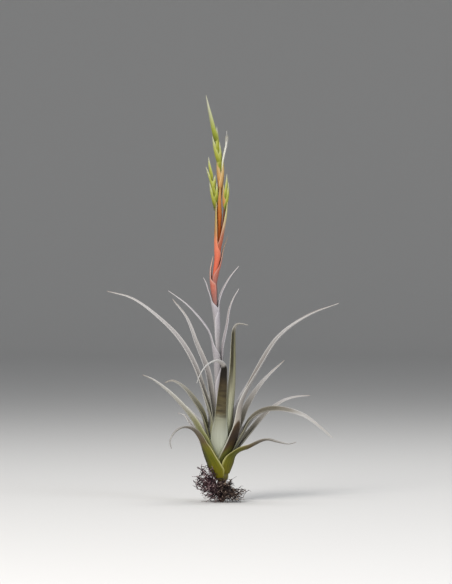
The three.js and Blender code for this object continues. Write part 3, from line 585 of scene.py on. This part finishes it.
# one row for each leaf, in the order of its columns; a dictionary at its end holds settings of its own
leafColumns = ("node", "facing", "width", "blade")
leafRows = [
    ("leaf_back_inner", 95, 10, [(2, 8, 86), (7, 15, 118), (10, 26, 141), (11, 40, 151), (11.5, 54, 149)]),
    ("leaf_left_inner", 150, 12,
     [(-9, 4.5, 86), (-12, 7, 110), (-16, 10, 132), (-26.6, 17, 158.5), (-36.5, 24, 184), (-51, 33, 203)],
     {"roll": -25}),
    ("leaf_back_upright", 112, 10,
     [(-5, 11, 86), (-6, 17, 122), (-6, 27, 147), (-6, 41, 158), (-6, 54, 156)]),
    ("leaf_left_long", 172, 12.5,
     [(-11.5, 3, 82), (-17.5, 5, 105), (-29, 9, 138), (-43, 13, 162), (-62, 17, 182), (-91, 22, 203.5),
      (-117, 26, 211)], {"roll": -34}),
    ("leaf_back_right", 58, 11,
     [(10.5, 15, 84), (18.5, 27, 103), (25.5, 43, 116), (28.4, 58, 120.2), (29.4, 74, 118)]),
    ("leaf_front_right", -48, 15,
     [(6.7, -11, 88), (9.2, -12.5, 115), (10.3, -14, 139), (10.6, -16, 160), (11.5, -19, 174),
      (15, -22, 178.5), (25.3, -26, 177)], {"taper": 0.62, "look": "paleOlive"}),
    ("leaf_back_left", 126, 12,
     [(-11.5, 16, 84), (-18, 29, 106), (-23, 45, 121), (-26.4, 62, 128.4), (-26.6, 78, 126.6)]),
    ("leaf_left_recurved", 178, 14,
     [(-19.5, 1, 86), (-30, 2, 103.7), (-41.5, 3, 116.5), (-51.5, 4, 121.4), (-58.5, 4, 119)],
     {"roll": -38, "look": "shadedOlive"}),
    ("leaf_front", -95, 16.5,
     [(-2.6, -17, 82), (-1, -19.5, 105), (0.5, -23, 126), (0.5, -30, 137), (-6, -38, 142), (-16, -45, 138),
      (-23, -49, 128), (-26, -50.5, 120)], {"taper": 1.05, "look": "olive"}),
    ("leaf_back_low_right", 78, 12, [(3, 24, 72), (7, 42, 84), (10, 62, 89), (12, 82, 84), (12, 98, 74)]),
    ("leaf_right_short", 40, 12,
     [(18, 15, 80), (22.6, 18, 92.5), (35.5, 26, 114), (46, 32, 126), (62, 39, 141)],
     {"roll": 20, "look": "duskySilver"}),
    ("leaf_right_long", -30, 16.5,
     [(14.8, -11, 78), (18, -10, 99), (35.5, -3, 134), (56, 4, 165.5), (86, 12, 187), (117, 18, 199)],
     {"roll": 58, "wrap": 84, "sheathWidth": 26, "look": "brownSheath"}),
    ("leaf_back_low_left", 134, 12,
     [(-18, 20, 71), (-26, 34, 80.5), (-34, 50, 89.5), (-40.5, 64, 95.5), (-45, 78, 98.5)]),
    ("leaf_right_low_back", 52, 12,
     [(18, 24, 68), (29, 38, 80), (40, 52, 87), (50, 66, 90.4), (57, 78, 89.8)]),
    ("leaf_right_arching", -2, 12.5,
     [(20.5, -2, 70), (25.5, -3, 80.5), (33, -5, 88), (43, -9, 92.5), (58, -15, 93.5), (80, -25, 87.5),
      (94, -31, 78), (109, -37, 65)], {"roll": 30, "look": "brownArch"}),
    ("leaf_left_broad", -158, 17,
     [(-27.5, -10, 80), (-39.6, -14, 96), (-55, -19, 112), (-70, -24, 123.5), (-80, -27, 128)],
     {"taper": 0.75, "look": "greenSilver"}),
    ("leaf_right_middle", 24, 12,
     [(28, 11, 71), (42, 17, 87), (54, 21, 96.5), (64, 24, 102), (77, 27, 105), (88, 29, 105.6)],
     {"roll": 20, "look": "duskySilver"}),
    ("leaf_left_low_back", 150, 11, [(-25, 14, 66), (-33, 20, 78), (-39, 25, 86), (-45.5, 31, 88)]),
    ("leaf_back_lowest", 104, 12,
     [(-8, 32, 55), (-10, 50, 66), (-10, 68, 69), (-8, 84, 63), (-5, 94, 53)], {"look": "yellowOlive"}),
    ("leaf_right_low", -24, 12,
     [(28, -12, 57), (43, -19, 63.5), (54, -24, 61.5), (65, -29, 59.5), (73, -33, 61.5)],
     {"sheathWidth": 29, "look": "yellowOliveRight"}),
    ("leaf_left_curled", -138, 12,
     [(-23, -18, 66), (-31, -24, 74.5), (-40, -30, 76), (-48, -34, 71), (-52.5, -36, 62), (-51, -35, 54.5)],
     {"sheathWidth": 28, "look": "yellowOlive"}),
]


def rowSpec(columns, row):
    # a row of a table as a dictionary; what follows its columns is a dictionary of the piece's own settings
    spec = dict(zip(columns, row))
    for own in row[len(columns):]:
        spec.update(own)
    return spec


leaves = [rowSpec(leafColumns, row) for row in leafRows]


def leafLayers():
    # each leaf lies one layer outside the outermost younger leaf that its sheath meets
    layers = []
    for k, leaf in enumerate(leaves):
        layer = 0
        for j in range(k):
            turn = abs((leaf["facing"] - leaves[j]["facing"] + 540) % 360 - 180)
            if turn < 2 * nestSettings["wrap"]:
                layer = max(layer, layers[j] + 1)
        layers.append(layer)
    return layers


def nestSeat(layer, pitch):
    # how far from the stem's line a sheath of this layer lies at each height
    skin = nestSettings["clearance"] + nestSettings["thickness"] / 2

    def seat(z):
        below = max(0, (nestSettings["crownTop"] - z) / pitch)
        slope = nestSettings["leanStart"] + nestSettings["leanStep"] * layer
        lean = max(0, z - nestSettings["crownTop"]) * slope
        return valueAt(stemRadii, z) + skin + nestSettings["layerSpacing"] * max(0, layer - below) + lean
    return seat


layers = leafLayers()
pitch = (nestSettings["crownTop"] - nestSettings["crownBottom"]) / max(layers)
for leaf, layer in zip(leaves, layers):
    bottom = nestSettings["crownTop"] - layer * pitch
    leafPiece({**nestSettings, "axis": stemLine, "bottom": bottom, "seat": nestSeat(layer, pitch), **leaf})
print("rosette made:", len(leaves), "leaves")


# Bracts that clasp the scape, and the primary bracts under the branches

claspSettings = {
    "thickness": 0.6,
    "clearance": 0.3,
    "sheathWidth": 31,
    "wrap": 150,
    "columns": 20,
    "stations": 40,
    "ease": (0.7, 1.25),
}

claspColumns = ("node", "facing", "bottom", "sheath", "wide", "width", "look", "blade")
claspRows = [
    ("scape_bract_1", 12, 74, 66, 4.3, 8, "lilacBract",
     [(-0.6, 0.4, 150), (0.6, 0.5, 160), (4, 1, 176), (6.5, 1.5, 193), (10.5, 2, 204), (16, 3, 213.5)],
     {"roll": 20}),
    ("scape_bract_2", 186, 112, 48, 4.2, 7, "lilacBract",
     [(-12.6, -0.4, 168), (-18, -1, 177), (-26, -1.6, 187), (-36, -2.4, 197.5), (-47, -3, 206),
      (-55, -3.5, 211.5)], {"roll": -20}),
    ("scape_bract_3", 5, 148, 44, 4.2, 6.5, "lilacBract",
     [(-4.2, 0, 198), (-2.6, 0, 206), (1, 0.6, 214.5), (7, 1, 225), (12, 1.2, 231.5), (16, 1.6, 236)],
     {"roll": 20, "wrap": 130}),
    ("scape_bract_4", 176, 172, 30, 3.6, 5, "lilacBract",
     [(-12.4, -0.2, 206), (-14.6, -0.4, 212), (-16.6, -0.6, 218.5), (-19.5, -0.6, 224.5)], {"roll": -10}),
    ("scape_bract_5", 12, 209, 29, 3.9, 7, "pinkBract",
     [(-3, 0.2, 236), (-1.4, 0.6, 244), (0.4, 1.2, 253), (2.6, 1.8, 259.5), (4.8, 2, 265.5)],
     {"sheathWidth": 20}),
    ("scape_bract_6", 168, 197, 28, 4.2, 6, "creamPinkBract",
     [(-12.4, 0, 231), (-11.4, -0.4, 238), (-9.6, -0.8, 246)]),
    ("primary_bract_left", -150, 223, 33, 3.3, 7, "coralBract",
     [(-7.5, -3.2, 264), (-7.2, -4.4, 276), (-7, -5.4, 288), (-6.7, -6, 300)], {"wrap": 135}),
    ("primary_bract_right", -22, 240, 21, 3.1, 8, "salmonBract",
     [(-0.6, -2.8, 266), (1.5, -4.4, 277), (3.3, -5.4, 288), (4.4, -6, 300)], {"wrap": 85}),
    ("primary_bract_middle", -84, 250, 38, 2.5, 6.5, "tanBract",
     [(-3.5, -3.1, 298), (-3.1, -3.8, 307), (-2.9, -4.3, 316)], {"wrap": 140}),
]


def claspSeat(bottom, sheath, foot, wide):
    # the sheath lies close round the stem at its foot and stands off by wide at its top
    inner = foot + claspSettings["clearance"] + claspSettings["thickness"] / 2
    return lambda z: mix(inner, wide, min((z - bottom) / sheath, 1))


for row in claspRows:
    bract = rowSpec(claspColumns, row)
    foot = valueAt(stemRadii, bract["bottom"])
    seat = claspSeat(bract["bottom"], bract["sheath"], foot, bract["wide"])
    leafPiece({**claspSettings, "axis": stemLine, "seat": seat, **bract})
print("clasping bracts made:", len(claspRows))


# Floral bracts in two rows up each spike

floralSettings = {
    "thickness": 0.6,
    "wrap": 120,
    "wide": 2.4,
    "columns": 16,
    "stations": 26,
    "veins": 6,
    "footShare": 0.2,
    "folds": [(0, 122), (0.6, 110), (1, 45)],
    "centred": 0,
    "taper": 0.7,
}
# each spike: its line, how far back it stands, and its bracts from the tip down, each with facing, bottom,
# sheath, width, look and the x and z of its blade
spikes = {
    "spike_top": (stemLine, 0, [
        (182, 352, 12, 13, "paleTipBract", [(-11.6, 374), (-13.2, 383), (-15.5, 396), (-17, 407)]),
        (2, 344, 10, 12, "limeBract", [(-4.2, 361), (-5, 368), (-6.2, 375.3)]),
        (178, 331, 11, 13, "limeBract", [(-8, 347), (-9.6, 356), (-10.7, 366)]),
        (-4, 327, 10, 12.5, "limeBract", [(-1.3, 341), (-1.7, 350), (-3.4, 360.2)]),
        (184, 310, 14, 12.5, "peachBract", [(-6, 328), (-6.3, 336), (-6.2, 344)]),
        (8, 303, 15, 13.5, "peachBract", [(0.5, 322), (0.9, 331), (0.4, 341)]),
    ]),
    "spike_left": (leftBranch, -3, [
        (180, 317, 8, 10, "limeBract", [(-13.4, 329), (-14.4, 337), (-14.5, 345)]),
        (0, 309, 8, 10, "limeBract", [(-7.4, 319), (-7.4, 323), (-7.8, 327)]),
        (180, 300, 8, 10.5, "limeBract", [(-11.8, 316), (-14.6, 326), (-17.2, 335.5)]),
        (0, 297, 7, 10, "limeBract", [(-5, 306), (-5.2, 313), (-6.4, 319)]),
        (180, 291, 7, 10, "limeBract", [(-10.6, 300), (-12.6, 311), (-13.4, 319.5)]),
    ]),
    "spike_right": (rightBranch, -3, [
        (0, 298, 8, 10, "limeBract", [(4.4, 311), (4.5, 320), (3.9, 328)]),
        (180, 294, 7, 9, "peachBract", [(-0.4, 304), (0, 311), (0.2, 317.5)]),
        (0, 289, 7, 10, "limeBract", [(4.8, 299), (5.9, 310), (5.6, 319.5)]),
    ]),
}
for spike, (axis, y, bracts) in spikes.items():
    for k, (facing, bottom, sheath, width, look, blade) in enumerate(bracts):
        seat = claspSeat(bottom, sheath, branchRadius, floralSettings["wide"])
        leafPiece({**floralSettings, "node": f"{spike}_bract_{k + 1}", "axis": axis, "facing": facing,
                   "bottom": bottom, "sheath": sheath, "width": width, "sheathWidth": width, "look": look,
                   "seat": seat, "blade": [(x, y, z) for x, z in blade]})
print("floral bracts made")


# Rods: the stem, the roots and the flower's threads

def rodMesh(name, strands, sides):
    # strands are (points, radii); each becomes a round, tapered, closed rod
    curve = bpy.data.curves.new(name, "CURVE")
    curve.dimensions = "3D"
    curve.bevel_depth = 1
    curve.bevel_resolution = sides // 2 - 2
    curve.use_fill_caps = True
    for points, radii in strands:
        spline = curve.splines.new("POLY")
        spline.points.add(len(points) - 1)
        for spot, point, radius in zip(spline.points, points, radii):
            spot.co = (*(Vector(point) * mm), 1)
            spot.radius = radius * mm
    holder = addObject(name, curve)
    bpy.context.view_layer.update()
    mesh = bpy.data.meshes.new_from_object(holder.evaluated_get(bpy.context.evaluated_depsgraph_get()))
    bpy.data.objects.remove(holder)
    bpy.data.curves.remove(curve)
    mesh.name = name
    mesh.shade_smooth()
    return mesh


stemSettings = {
    "steps": 120,
    "branchSteps": 40,
    "stops": [(0.05, "#3c2c10"), (0.062, "#66600a"), (0.14, "#6b6c1a"), (0.2, "#8f8c7c"), (0.45, "#8c848c"),
              (0.54, "#a8645a"), (0.6, "#a8442c"), (0.65, "#6b2c10"), (0.73, "#7c4a14"), (0.78, "#84782c"),
              (0.86, "#6f7a1c"), (0.9, "#7c8a2c")],
    "height": 410,
    "streakScale": (900, 900, 60),   # streaks about 1 mm wide and 17 mm long
    "streakColour": "#8a4a30",
    "streakShare": 0.35,
    "bumpStrength": 0.3,
    "bumpDepth": 0.1,
    "roughness": 0.5,
}


def stemSkin():
    # Smooth green skin that flushes coral where the bracts do
    material, tree, where = newMaterial("scapeSkin")
    place = addNode(tree, "SeparateXYZ", {"Vector": where})
    share = addNode(tree, "MapRange", {
        "Value": place.outputs["Z"], "From Max": stemSettings["height"] * mm})
    base = addNode(tree, "ValToRGB", {"Fac": share}, stops=stemSettings["stops"])
    stretch = addNode(tree, "Mapping", {"Vector": where, "Scale": stemSettings["streakScale"]})
    streak = addNode(tree, "TexNoise", {"Vector": stretch, "Scale": 1})
    shaded = addNode(tree, "MixRGB", {
        "Fac": streak, "Color1": base, "Color2": linear(stemSettings["streakColour"])}, blend_type="MULTIPLY")
    softened = addNode(tree, "MixRGB", {
        "Fac": stemSettings["streakShare"], "Color1": base, "Color2": shaded})
    return finishSkin(material, streak, softened, stemSettings)


def stemStrands():
    line = smoothLine(stemLine, stemSettings["steps"])[0]
    strands = [(line, [valueAt(stemRadii, p.z) for p in line])]
    for branch in (leftBranch, rightBranch):
        points = smoothLine(branch, stemSettings["branchSteps"])[0]
        strands.append((points, [branchRadius] * len(points)))
    return strands


addPiece("grown_stem", rodMesh("grown_stem", stemStrands(), 16), [stemSkin()], "stem")
print("stem made")


# The roots: a curly tangle that climbs the left of the foot, and wiry strands that run out over the surface

rootSettings = {
    "seed": 5,
    "noiseSeed": 2,                # vector noise is drawn from the clock unless it is given a seed
    "steps": 26,
    "heartX": -1.2,
    "heartTop": 26,
    "heartSunk": 0.5,              # cut off flat this far up
    "heartGirth": 5.2,
    "heartLumps": (1.2, 0.5),      # coarse and fine
    "startReach": 3.5,             # strands start inside the heart
    "sway": (-0.35, 0.35),         # sideways at the middle and at the tip, as a share of the reach
    "curl": (-0.5, 0.5),
    "lowest": 0.4,
    "swayGrain": 0.12,             # slow and fast wander along a strand
    "fineGrain": 0.3,
    "fineShare": 0.25,
    "coneFrom": 17,
    # how wide the lowest sheaths are at each height
    "sheathCone": [(17, 7.2), (24, 9.4), (34, 13.5), (46, 18)],
    "taper": (1.1, 0.55),
    "sideTaper": (0.7, 0.35),
    "sideReach": (3, 7),
    "sideKink": 3,
    "stops": [(0.36, "#120a0a"), (0.5, "#281916"), (0.57, "#4c3830"), (0.63, "#94806e"), (0.74, "#bcae9c")],
    "leftStops": [(0.36, "#140810"), (0.5, "#34161f"), (0.56, "#5c3c42"), (0.62, "#a08888"), (0.74, "#c0b0aa")],
    "leftAt": -12,
    "patchSize": 3.2,
    "barkScale": 1800,             # cracks in the bark lie about 0.5 mm apart
    "bumpStrength": 0.6,
    "bumpDepth": 0.15,
    "roughness": 0.85,
}
# Each bunch: how many strands, the way they turn (degrees), how far they reach, the heights of foot and tip,
# their radius, how much they wander, and their side roots
rootBunches = [
    (70, (165, 232), (10, 24), (6, 19), (10, 35), (0.28, 0.6), 9, 3),       # tangle
    (20, (165, 215), (21, 27), (8, 17), (13, 28), (0.3, 0.5), 7, 2),        # far left
    (26, (232, 300), (8, 16), (6, 17), (5, 24), (0.26, 0.5), 6, 2),         # front
    (44, (-95, 60), (7.5, 11), (8, 19), (11, 23), (0.26, 0.5), 4, 1),       # collar round the foot
    (34, (-62, 24), (16, 26), (5, 13), (3, 13), (0.26, 0.46), 3, 1),        # runners to the right
    (58, (0, 360), (9, 22), (3, 16), (0.4, 10), (0.26, 0.5), 5, 2),         # mat all round
]


def rootSkin():
    # Dead-looking wiry root bark: dark purple-brown, with paler dry stretches, redder on the left
    material, tree, where = newMaterial("wiryRootBark")
    patch = addNode(tree, "TexNoise", {
        "Vector": where, "Scale": 1 / (rootSettings["patchSize"] * mm), "Detail": 4})
    base = addNode(tree, "ValToRGB", {"Fac": patch}, stops=rootSettings["stops"])
    leftBase = addNode(tree, "ValToRGB", {"Fac": patch}, stops=rootSettings["leftStops"])
    place = addNode(tree, "SeparateXYZ", {"Vector": where})
    toLeft = addNode(tree, "MapRange", {
        "Value": place.outputs["X"], "From Min": 0, "From Max": rootSettings["leftAt"] * mm})
    colour = addNode(tree, "MixRGB", {"Fac": toLeft, "Color1": base, "Color2": leftBase})
    bark = addNode(tree, "TexNoise", {"Vector": where, "Scale": rootSettings["barkScale"]})
    return finishSkin(material, bark, colour, rootSettings)


def kinked(points, seed, amount, radius):
    # bends a line irregularly, more towards its tip, and keeps it above the surface and outside the sheaths
    bent = []
    for i, point in enumerate(smoothLine(points, rootSettings["steps"])[0]):
        share = i / rootSettings["steps"]
        sway = noise.noise_vector(point * rootSettings["swayGrain"] + Vector((seed, 0, 0)))
        fine = noise.noise_vector(point * rootSettings["fineGrain"] + Vector((0, seed, 0)))
        place = point + sway * amount * share**0.7 + fine * rootSettings["fineShare"] * amount * share**0.5
        away = Vector((place.x - rootSettings["heartX"], place.y, 0))
        keepOut = valueAt(rootSettings["sheathCone"], place.z)
        if place.z > rootSettings["coneFrom"] and away.length < keepOut:
            place += away.normalized() * (keepOut - away.length)
        place.z = max(place.z, radius)
        bent.append(place)
    return bent


def tapered(line, radius, taper):
    return line, [radius * mix(*taper, i / (len(line) - 1)) for i in range(len(line))]


def rootStrands():
    draw = random.Random(rootSettings["seed"])
    noise.seed_set(rootSettings["noiseSeed"])
    heart = Vector((rootSettings["heartX"], 0, 0))
    first = rootSettings["startReach"]
    strands = []
    for count, turns, reaches, feet, tips, radii, kink, sideRoots in rootBunches:
        for k in range(count):
            out, side = compass(draw.uniform(*turns))
            reach = draw.uniform(*reaches)
            start, end = draw.uniform(*feet), draw.uniform(*tips)
            sway = draw.uniform(*rootSettings["sway"]) * reach
            curl = draw.uniform(*rootSettings["curl"]) * reach
            points = [
                heart + out * first + Vector((0, 0, start)),
                heart + out * mix(first, reach, 0.4) + side * 0.5 * sway + Vector((0, 0, mix(start, end, 0.3))),
                heart + out * mix(first, reach, 0.75) + side * sway + Vector((0, 0, mix(start, end, 0.85))),
                heart + out * reach + side * curl + Vector((0, 0, end))]
            radius = draw.uniform(*radii)
            line = kinked(points, len(strands) * 1.7, kink, radius)
            strands.append(tapered(line, radius, rootSettings["taper"]))
            for branch in range(sideRoots):
                root = line[draw.randrange(8, len(line) - 2)]
                away = Vector((draw.uniform(-1, 1), draw.uniform(-1, 1), draw.uniform(-0.8, 0.8)))
                tip = root + away * draw.uniform(*rootSettings["sideReach"])
                tip.z = max(tip.z, rootSettings["lowest"])
                middle = root.lerp(tip, 0.5) + Vector((0, 0, 0.6))
                twig = kinked([root, middle, tip], k + branch, rootSettings["sideKink"], 0.2)[::2]
                strands.append(tapered(twig, radius, rootSettings["sideTaper"]))
    return strands


def rootHeart():
    # the matted core that the strands grow from, flat underneath
    coarse, fine = rootSettings["heartLumps"]
    bm = bmesh.new()
    bmesh.ops.create_icosphere(bm, subdivisions=4, radius=1)
    for v in bm.verts:
        height = (v.co.z + 1) / 2 * rootSettings["heartTop"] - rootSettings["heartSunk"]
        girth = rootSettings["heartGirth"] + coarse * noise.noise(v.co * 2.5) + fine * noise.noise(v.co * 9)
        v.co = Vector((v.co.x * girth + rootSettings["heartX"], v.co.y * girth, max(height, 0))) * mm
    bmesh.ops.recalc_face_normals(bm, faces=bm.faces)
    return meshFrom(bm, "grown_root_heart")


rootBark = [rootSkin()]
addPiece("grown_roots", rodMesh("grown_roots", rootStrands(), 6), rootBark, "root_tuft")
addPiece("grown_root_heart", rootHeart(), rootBark)
print("roots made")


# The open flower: a narrow tube, three short upright petals, six stamens and a longer style with three lobes

flowerSettings = {
    "tube": [(-1.2, -1.0, 331), (-0.2, -1.7, 341), (1.0, -2.2, 347), (2.1, -2.5, 352), (3.5, -2.6, 358)],
    "tubeSteps": 24,
    "tubeRadii": [(0, 0.7), (0.5, 0.95), (0.8, 1.1), (1, 0.95)],
    "petalTurns": (30, 150, 270),
    "petalLength": 4.6,
    "petalWidth": 1.7,
    "petalThickness": 0.18,
    "petalFoot": -1.4,             # below the mouth of the tube
    "petalLean": (-0.3, 0.2),      # the flower's own lean to the right, at the foot and along the petal
    "petalStandOff": 0.95,
    "petalBend": 1.5,
    "petalCup": 0.3,
    "threadSteps": 12,
    "styleReach": 12.6,
    "styleRadius": 0.24,
    "filamentReach": 4.6,
    "filamentStep": 1.3,           # every third filament is as long as the first
    "filamentRadius": 0.17,
    "antherLength": 1.7,
    "antherRadii": (0.2, 0.4, 0.18),
    "lobeLength": 0.7,
    "lobeRadii": (0.18, 0.2, 0.12),
    "petalColours": [(0, "#c4c09a"), (0.3, "#cac8ba"), (1, "#c6c4bc")],
    "filamentColours": [(0, "#b4b0a0"), (1, "#c0beb4")],
    "antherColours": [(0, "#98947e"), (1, "#aca898")],
    "colourSpan": (335, 362),      # heights between which the colours run
    "grainScale": 1500,            # a petal's cells are finer; 0.7 mm is as coarse as they need to show
    "bumpStrength": 0.3,
    "bumpDepth": 0.08,
    "roughness": 0.45,
    "softness": 0.15,              # how much light passes into the petal, and how far in millimetres
    "softReach": (1, 1, 0.8),
}


def petalSkin(name, stops):
    # Thin, nearly clear white petal: light passes a little way in
    material, tree, where = newMaterial(name)
    place = addNode(tree, "SeparateXYZ", {"Vector": where})
    low, high = flowerSettings["colourSpan"]
    share = addNode(tree, "MapRange", {
        "Value": place.outputs["Z"], "From Min": low * mm, "From Max": high * mm})
    base = addNode(tree, "ValToRGB", {"Fac": share}, stops=stops)
    grain = addNode(tree, "TexNoise", {"Vector": where, "Scale": flowerSettings["grainScale"]})
    return finishSkin(material, grain, base, flowerSettings, {
        "Subsurface Weight": flowerSettings["softness"], "Subsurface Scale": 1,
        "Subsurface Radius": [reach * mm for reach in flowerSettings["softReach"]]})


def petalsMesh(name):
    # three narrow sheets round the mouth of the tube, widest near the middle and bent out a little at the tip
    mouth = Vector(flowerSettings["tube"][-1])
    lean, leanStep = flowerSettings["petalLean"]
    bm = bmesh.new()
    for turn in flowerSettings["petalTurns"]:
        out, side = compass(turn)
        for v in bmesh.ops.create_grid(bm, x_segments=6, y_segments=14, size=1)["verts"]:
            u, along = v.co.x, (v.co.y + 1) / 2
            reach = flowerSettings["petalLength"] * along
            width = flowerSettings["petalWidth"] / 2 * math.sin(math.pi * (0.22 + 0.74 * along))
            bend = flowerSettings["petalBend"] * max(0, along - 0.35) ** 2
            rise = flowerSettings["petalFoot"] + reach * (1 - 0.2 * max(0, along - 0.5))
            v.co = (mouth + Vector((lean + leanStep * along, 0, rise))
                    + out * (flowerSettings["petalStandOff"] + bend) + side * width * u
                    - out * flowerSettings["petalCup"] * u * u) * mm
    return meshFrom(bm, name)


def stamenStrands():
    # six filaments with an anther each, then the style with its lobes
    mouth = Vector(flowerSettings["tube"][-1])
    threads, anthers = [], []
    for k in range(7):
        isStyle = k == 6
        out = compass(60 * k + 15)[0] * (0 if isStyle else 1)
        reach = flowerSettings["filamentReach"] + flowerSettings["filamentStep"] * (k % 3)
        if isStyle:
            reach = flowerSettings["styleReach"]
        top = mouth + out * 1.4 + Vector((0.3, 0, reach))
        foot = mouth + Vector((0, 0, -1)) + out * 0.3
        middle = mouth + Vector((0.25, 0, 0.5 * reach)) + out * 0.9
        line = smoothLine([foot, middle, top], flowerSettings["threadSteps"])[0]
        threads.append((line, [flowerSettings["styleRadius" if isStyle else "filamentRadius"]] * len(line)))
        if isStyle:
            for fork in range(3):
                lobe = Vector((math.cos(fork * 2.1), math.sin(fork * 2.1), 0.6)) * flowerSettings["lobeLength"]
                threads.append(([top, top + lobe * 0.6, top + lobe], flowerSettings["lobeRadii"]))
        else:
            tip = out * 0.5 + Vector((0, 0, flowerSettings["antherLength"]))
            anthers.append(([top - tip * 0.5, top, top + tip * 0.5], flowerSettings["antherRadii"]))
    return threads, anthers


tubeSteps = flowerSettings["tubeSteps"]
tubeLine = smoothLine(flowerSettings["tube"], tubeSteps)[0]
tubeRadii = [valueAt(flowerSettings["tubeRadii"], i / tubeSteps) for i in range(tubeSteps + 1)]
whitePetal = [petalSkin("whitePetal", flowerSettings["petalColours"])]
addPiece("grown_flower_corolla", rodMesh("grown_flower_corolla", [(tubeLine, tubeRadii)], 16),
         whitePetal, "flower_corolla")
petals = addPiece("grown_flower_petals", petalsMesh("grown_flower_petals"), whitePetal)
petalWall = petals.modifiers.new("wall", "SOLIDIFY")
petalWall.thickness = flowerSettings["petalThickness"] * mm
petalWall.offset = 0
threads, anthers = stamenStrands()
addPiece("grown_flower_threads", rodMesh("grown_flower_threads", threads, 6),
         [petalSkin("paleFilament", flowerSettings["filamentColours"])], "flower_stamens")
addPiece("grown_flower_anthers", rodMesh("grown_flower_anthers", anthers, 8),
         [petalSkin("dustyAnther", flowerSettings["antherColours"])])
print("flower made")


# The studio: a round pale floor whose rim curves up all round, soft lights and the camera. Its sizes are in
# metres, apart from the paper's relief and the point that the camera aims at.

studioSettings = {
    "floorColour": "#dad9d7",
    "roughness": 0.9,
    "bumpStrength": 0.05,
    "bumpDepth": 0.1,
    "flatRadius": 8.0,
    "bendRadius": 3.0,
    "wallHeight": 1.5,
    "rings": 60,
    "fibreScale": 300,             # fibres about 3 mm long
    "worldColour": "#eef1f5",
    "worldStrength": 0.3,
}
cameraSettings = {"distance": 3.5, "aimX": 3, "aimZ": 210, "frameHeight": 0.584, "film": 36, "clipEnd": 30}
lights = {
    "keyLight": {"place": (-1.2, -2.5, 2.0), "size": 1.3, "watts": 91, "colour": "#fffcf8"},
    "fillLight": {"place": (2.1, -2.2, 1.1), "size": 1.8, "watts": 36, "colour": "#f0f4ff"},
    "topLight": {"place": (0.2, 0.5, 2.4), "size": 1.6, "watts": 23, "colour": "#ffffff"},
}
lightAim = (0, 0, 0.18)


def paperSkin():
    # Matt pale paper, with hardly any relief
    material, tree, where = newMaterial("palePaper")
    fibre = addNode(tree, "TexNoise", {"Vector": where, "Scale": studioSettings["fibreScale"]})
    return finishSkin(material, fibre, linear(studioSettings["floorColour"]), studioSettings)


def studioFloor():
    # a square grid drawn out to a disc, flat, then bent up, then upright
    bm = bmesh.new()
    rings, flat, bend = (studioSettings[key] for key in ("rings", "flatRadius", "bendRadius"))
    turned = bend * math.pi / 2
    total = flat + turned + studioSettings["wallHeight"]
    bmesh.ops.create_grid(bm, x_segments=2 * rings, y_segments=2 * rings, size=1)
    for v in bm.verts:
        reach = total * max(abs(v.co.x), abs(v.co.y))
        angle = min(max(reach - flat, 0), turned) / bend
        radius = min(reach, flat) + bend * math.sin(angle)
        height = bend * (1 - math.cos(angle)) + max(reach - flat - turned, 0)
        away = v.co.normalized() * radius
        v.co = (away.x, away.y, height)
    mesh = meshFrom(bm, "studioFloor")
    mesh.materials.append(paperSkin())
    floor = addObject("studioFloor", mesh)


def addLight(name, light):
    lamp = bpy.data.lights.new(name, "AREA")
    lamp.shape = "DISK"
    lamp.size = light["size"]
    lamp.energy = light["watts"]
    lamp.color = linear(light["colour"])[:3]
    holder = addObject(name, lamp)
    holder.location = light["place"]
    holder.rotation_euler = (Vector(lightAim) - holder.location).to_track_quat("-Z", "Y").to_euler()


def addCamera():
    camera = bpy.data.cameras.new("camera")
    camera.sensor_fit = "VERTICAL"
    camera.sensor_height = cameraSettings["film"]
    camera.lens = cameraSettings["film"] * cameraSettings["distance"] / cameraSettings["frameHeight"]
    camera.clip_end = cameraSettings["clipEnd"]
    holder = addObject("camera", camera)
    holder.location = (cameraSettings["aimX"] * mm, -cameraSettings["distance"], cameraSettings["aimZ"] * mm)
    holder.rotation_euler = (math.pi / 2, 0, 0)
    bpy.context.scene.camera = holder


studioFloor()
for name, light in lights.items():
    addLight(name, light)
addCamera()
world = bpy.data.worlds.new("softRoom")
bpy.context.scene.world = world
world.use_nodes = True
world.node_tree.nodes.clear()
sky = addNode(world.node_tree, "Background", {
    "Color": linear(studioSettings["worldColour"]), "Strength": studioSettings["worldStrength"]})
addNode(world.node_tree, "OutputWorld", {"Surface": sky})
bpy.context.scene.view_settings.view_transform = "Standard"
print("studio made")
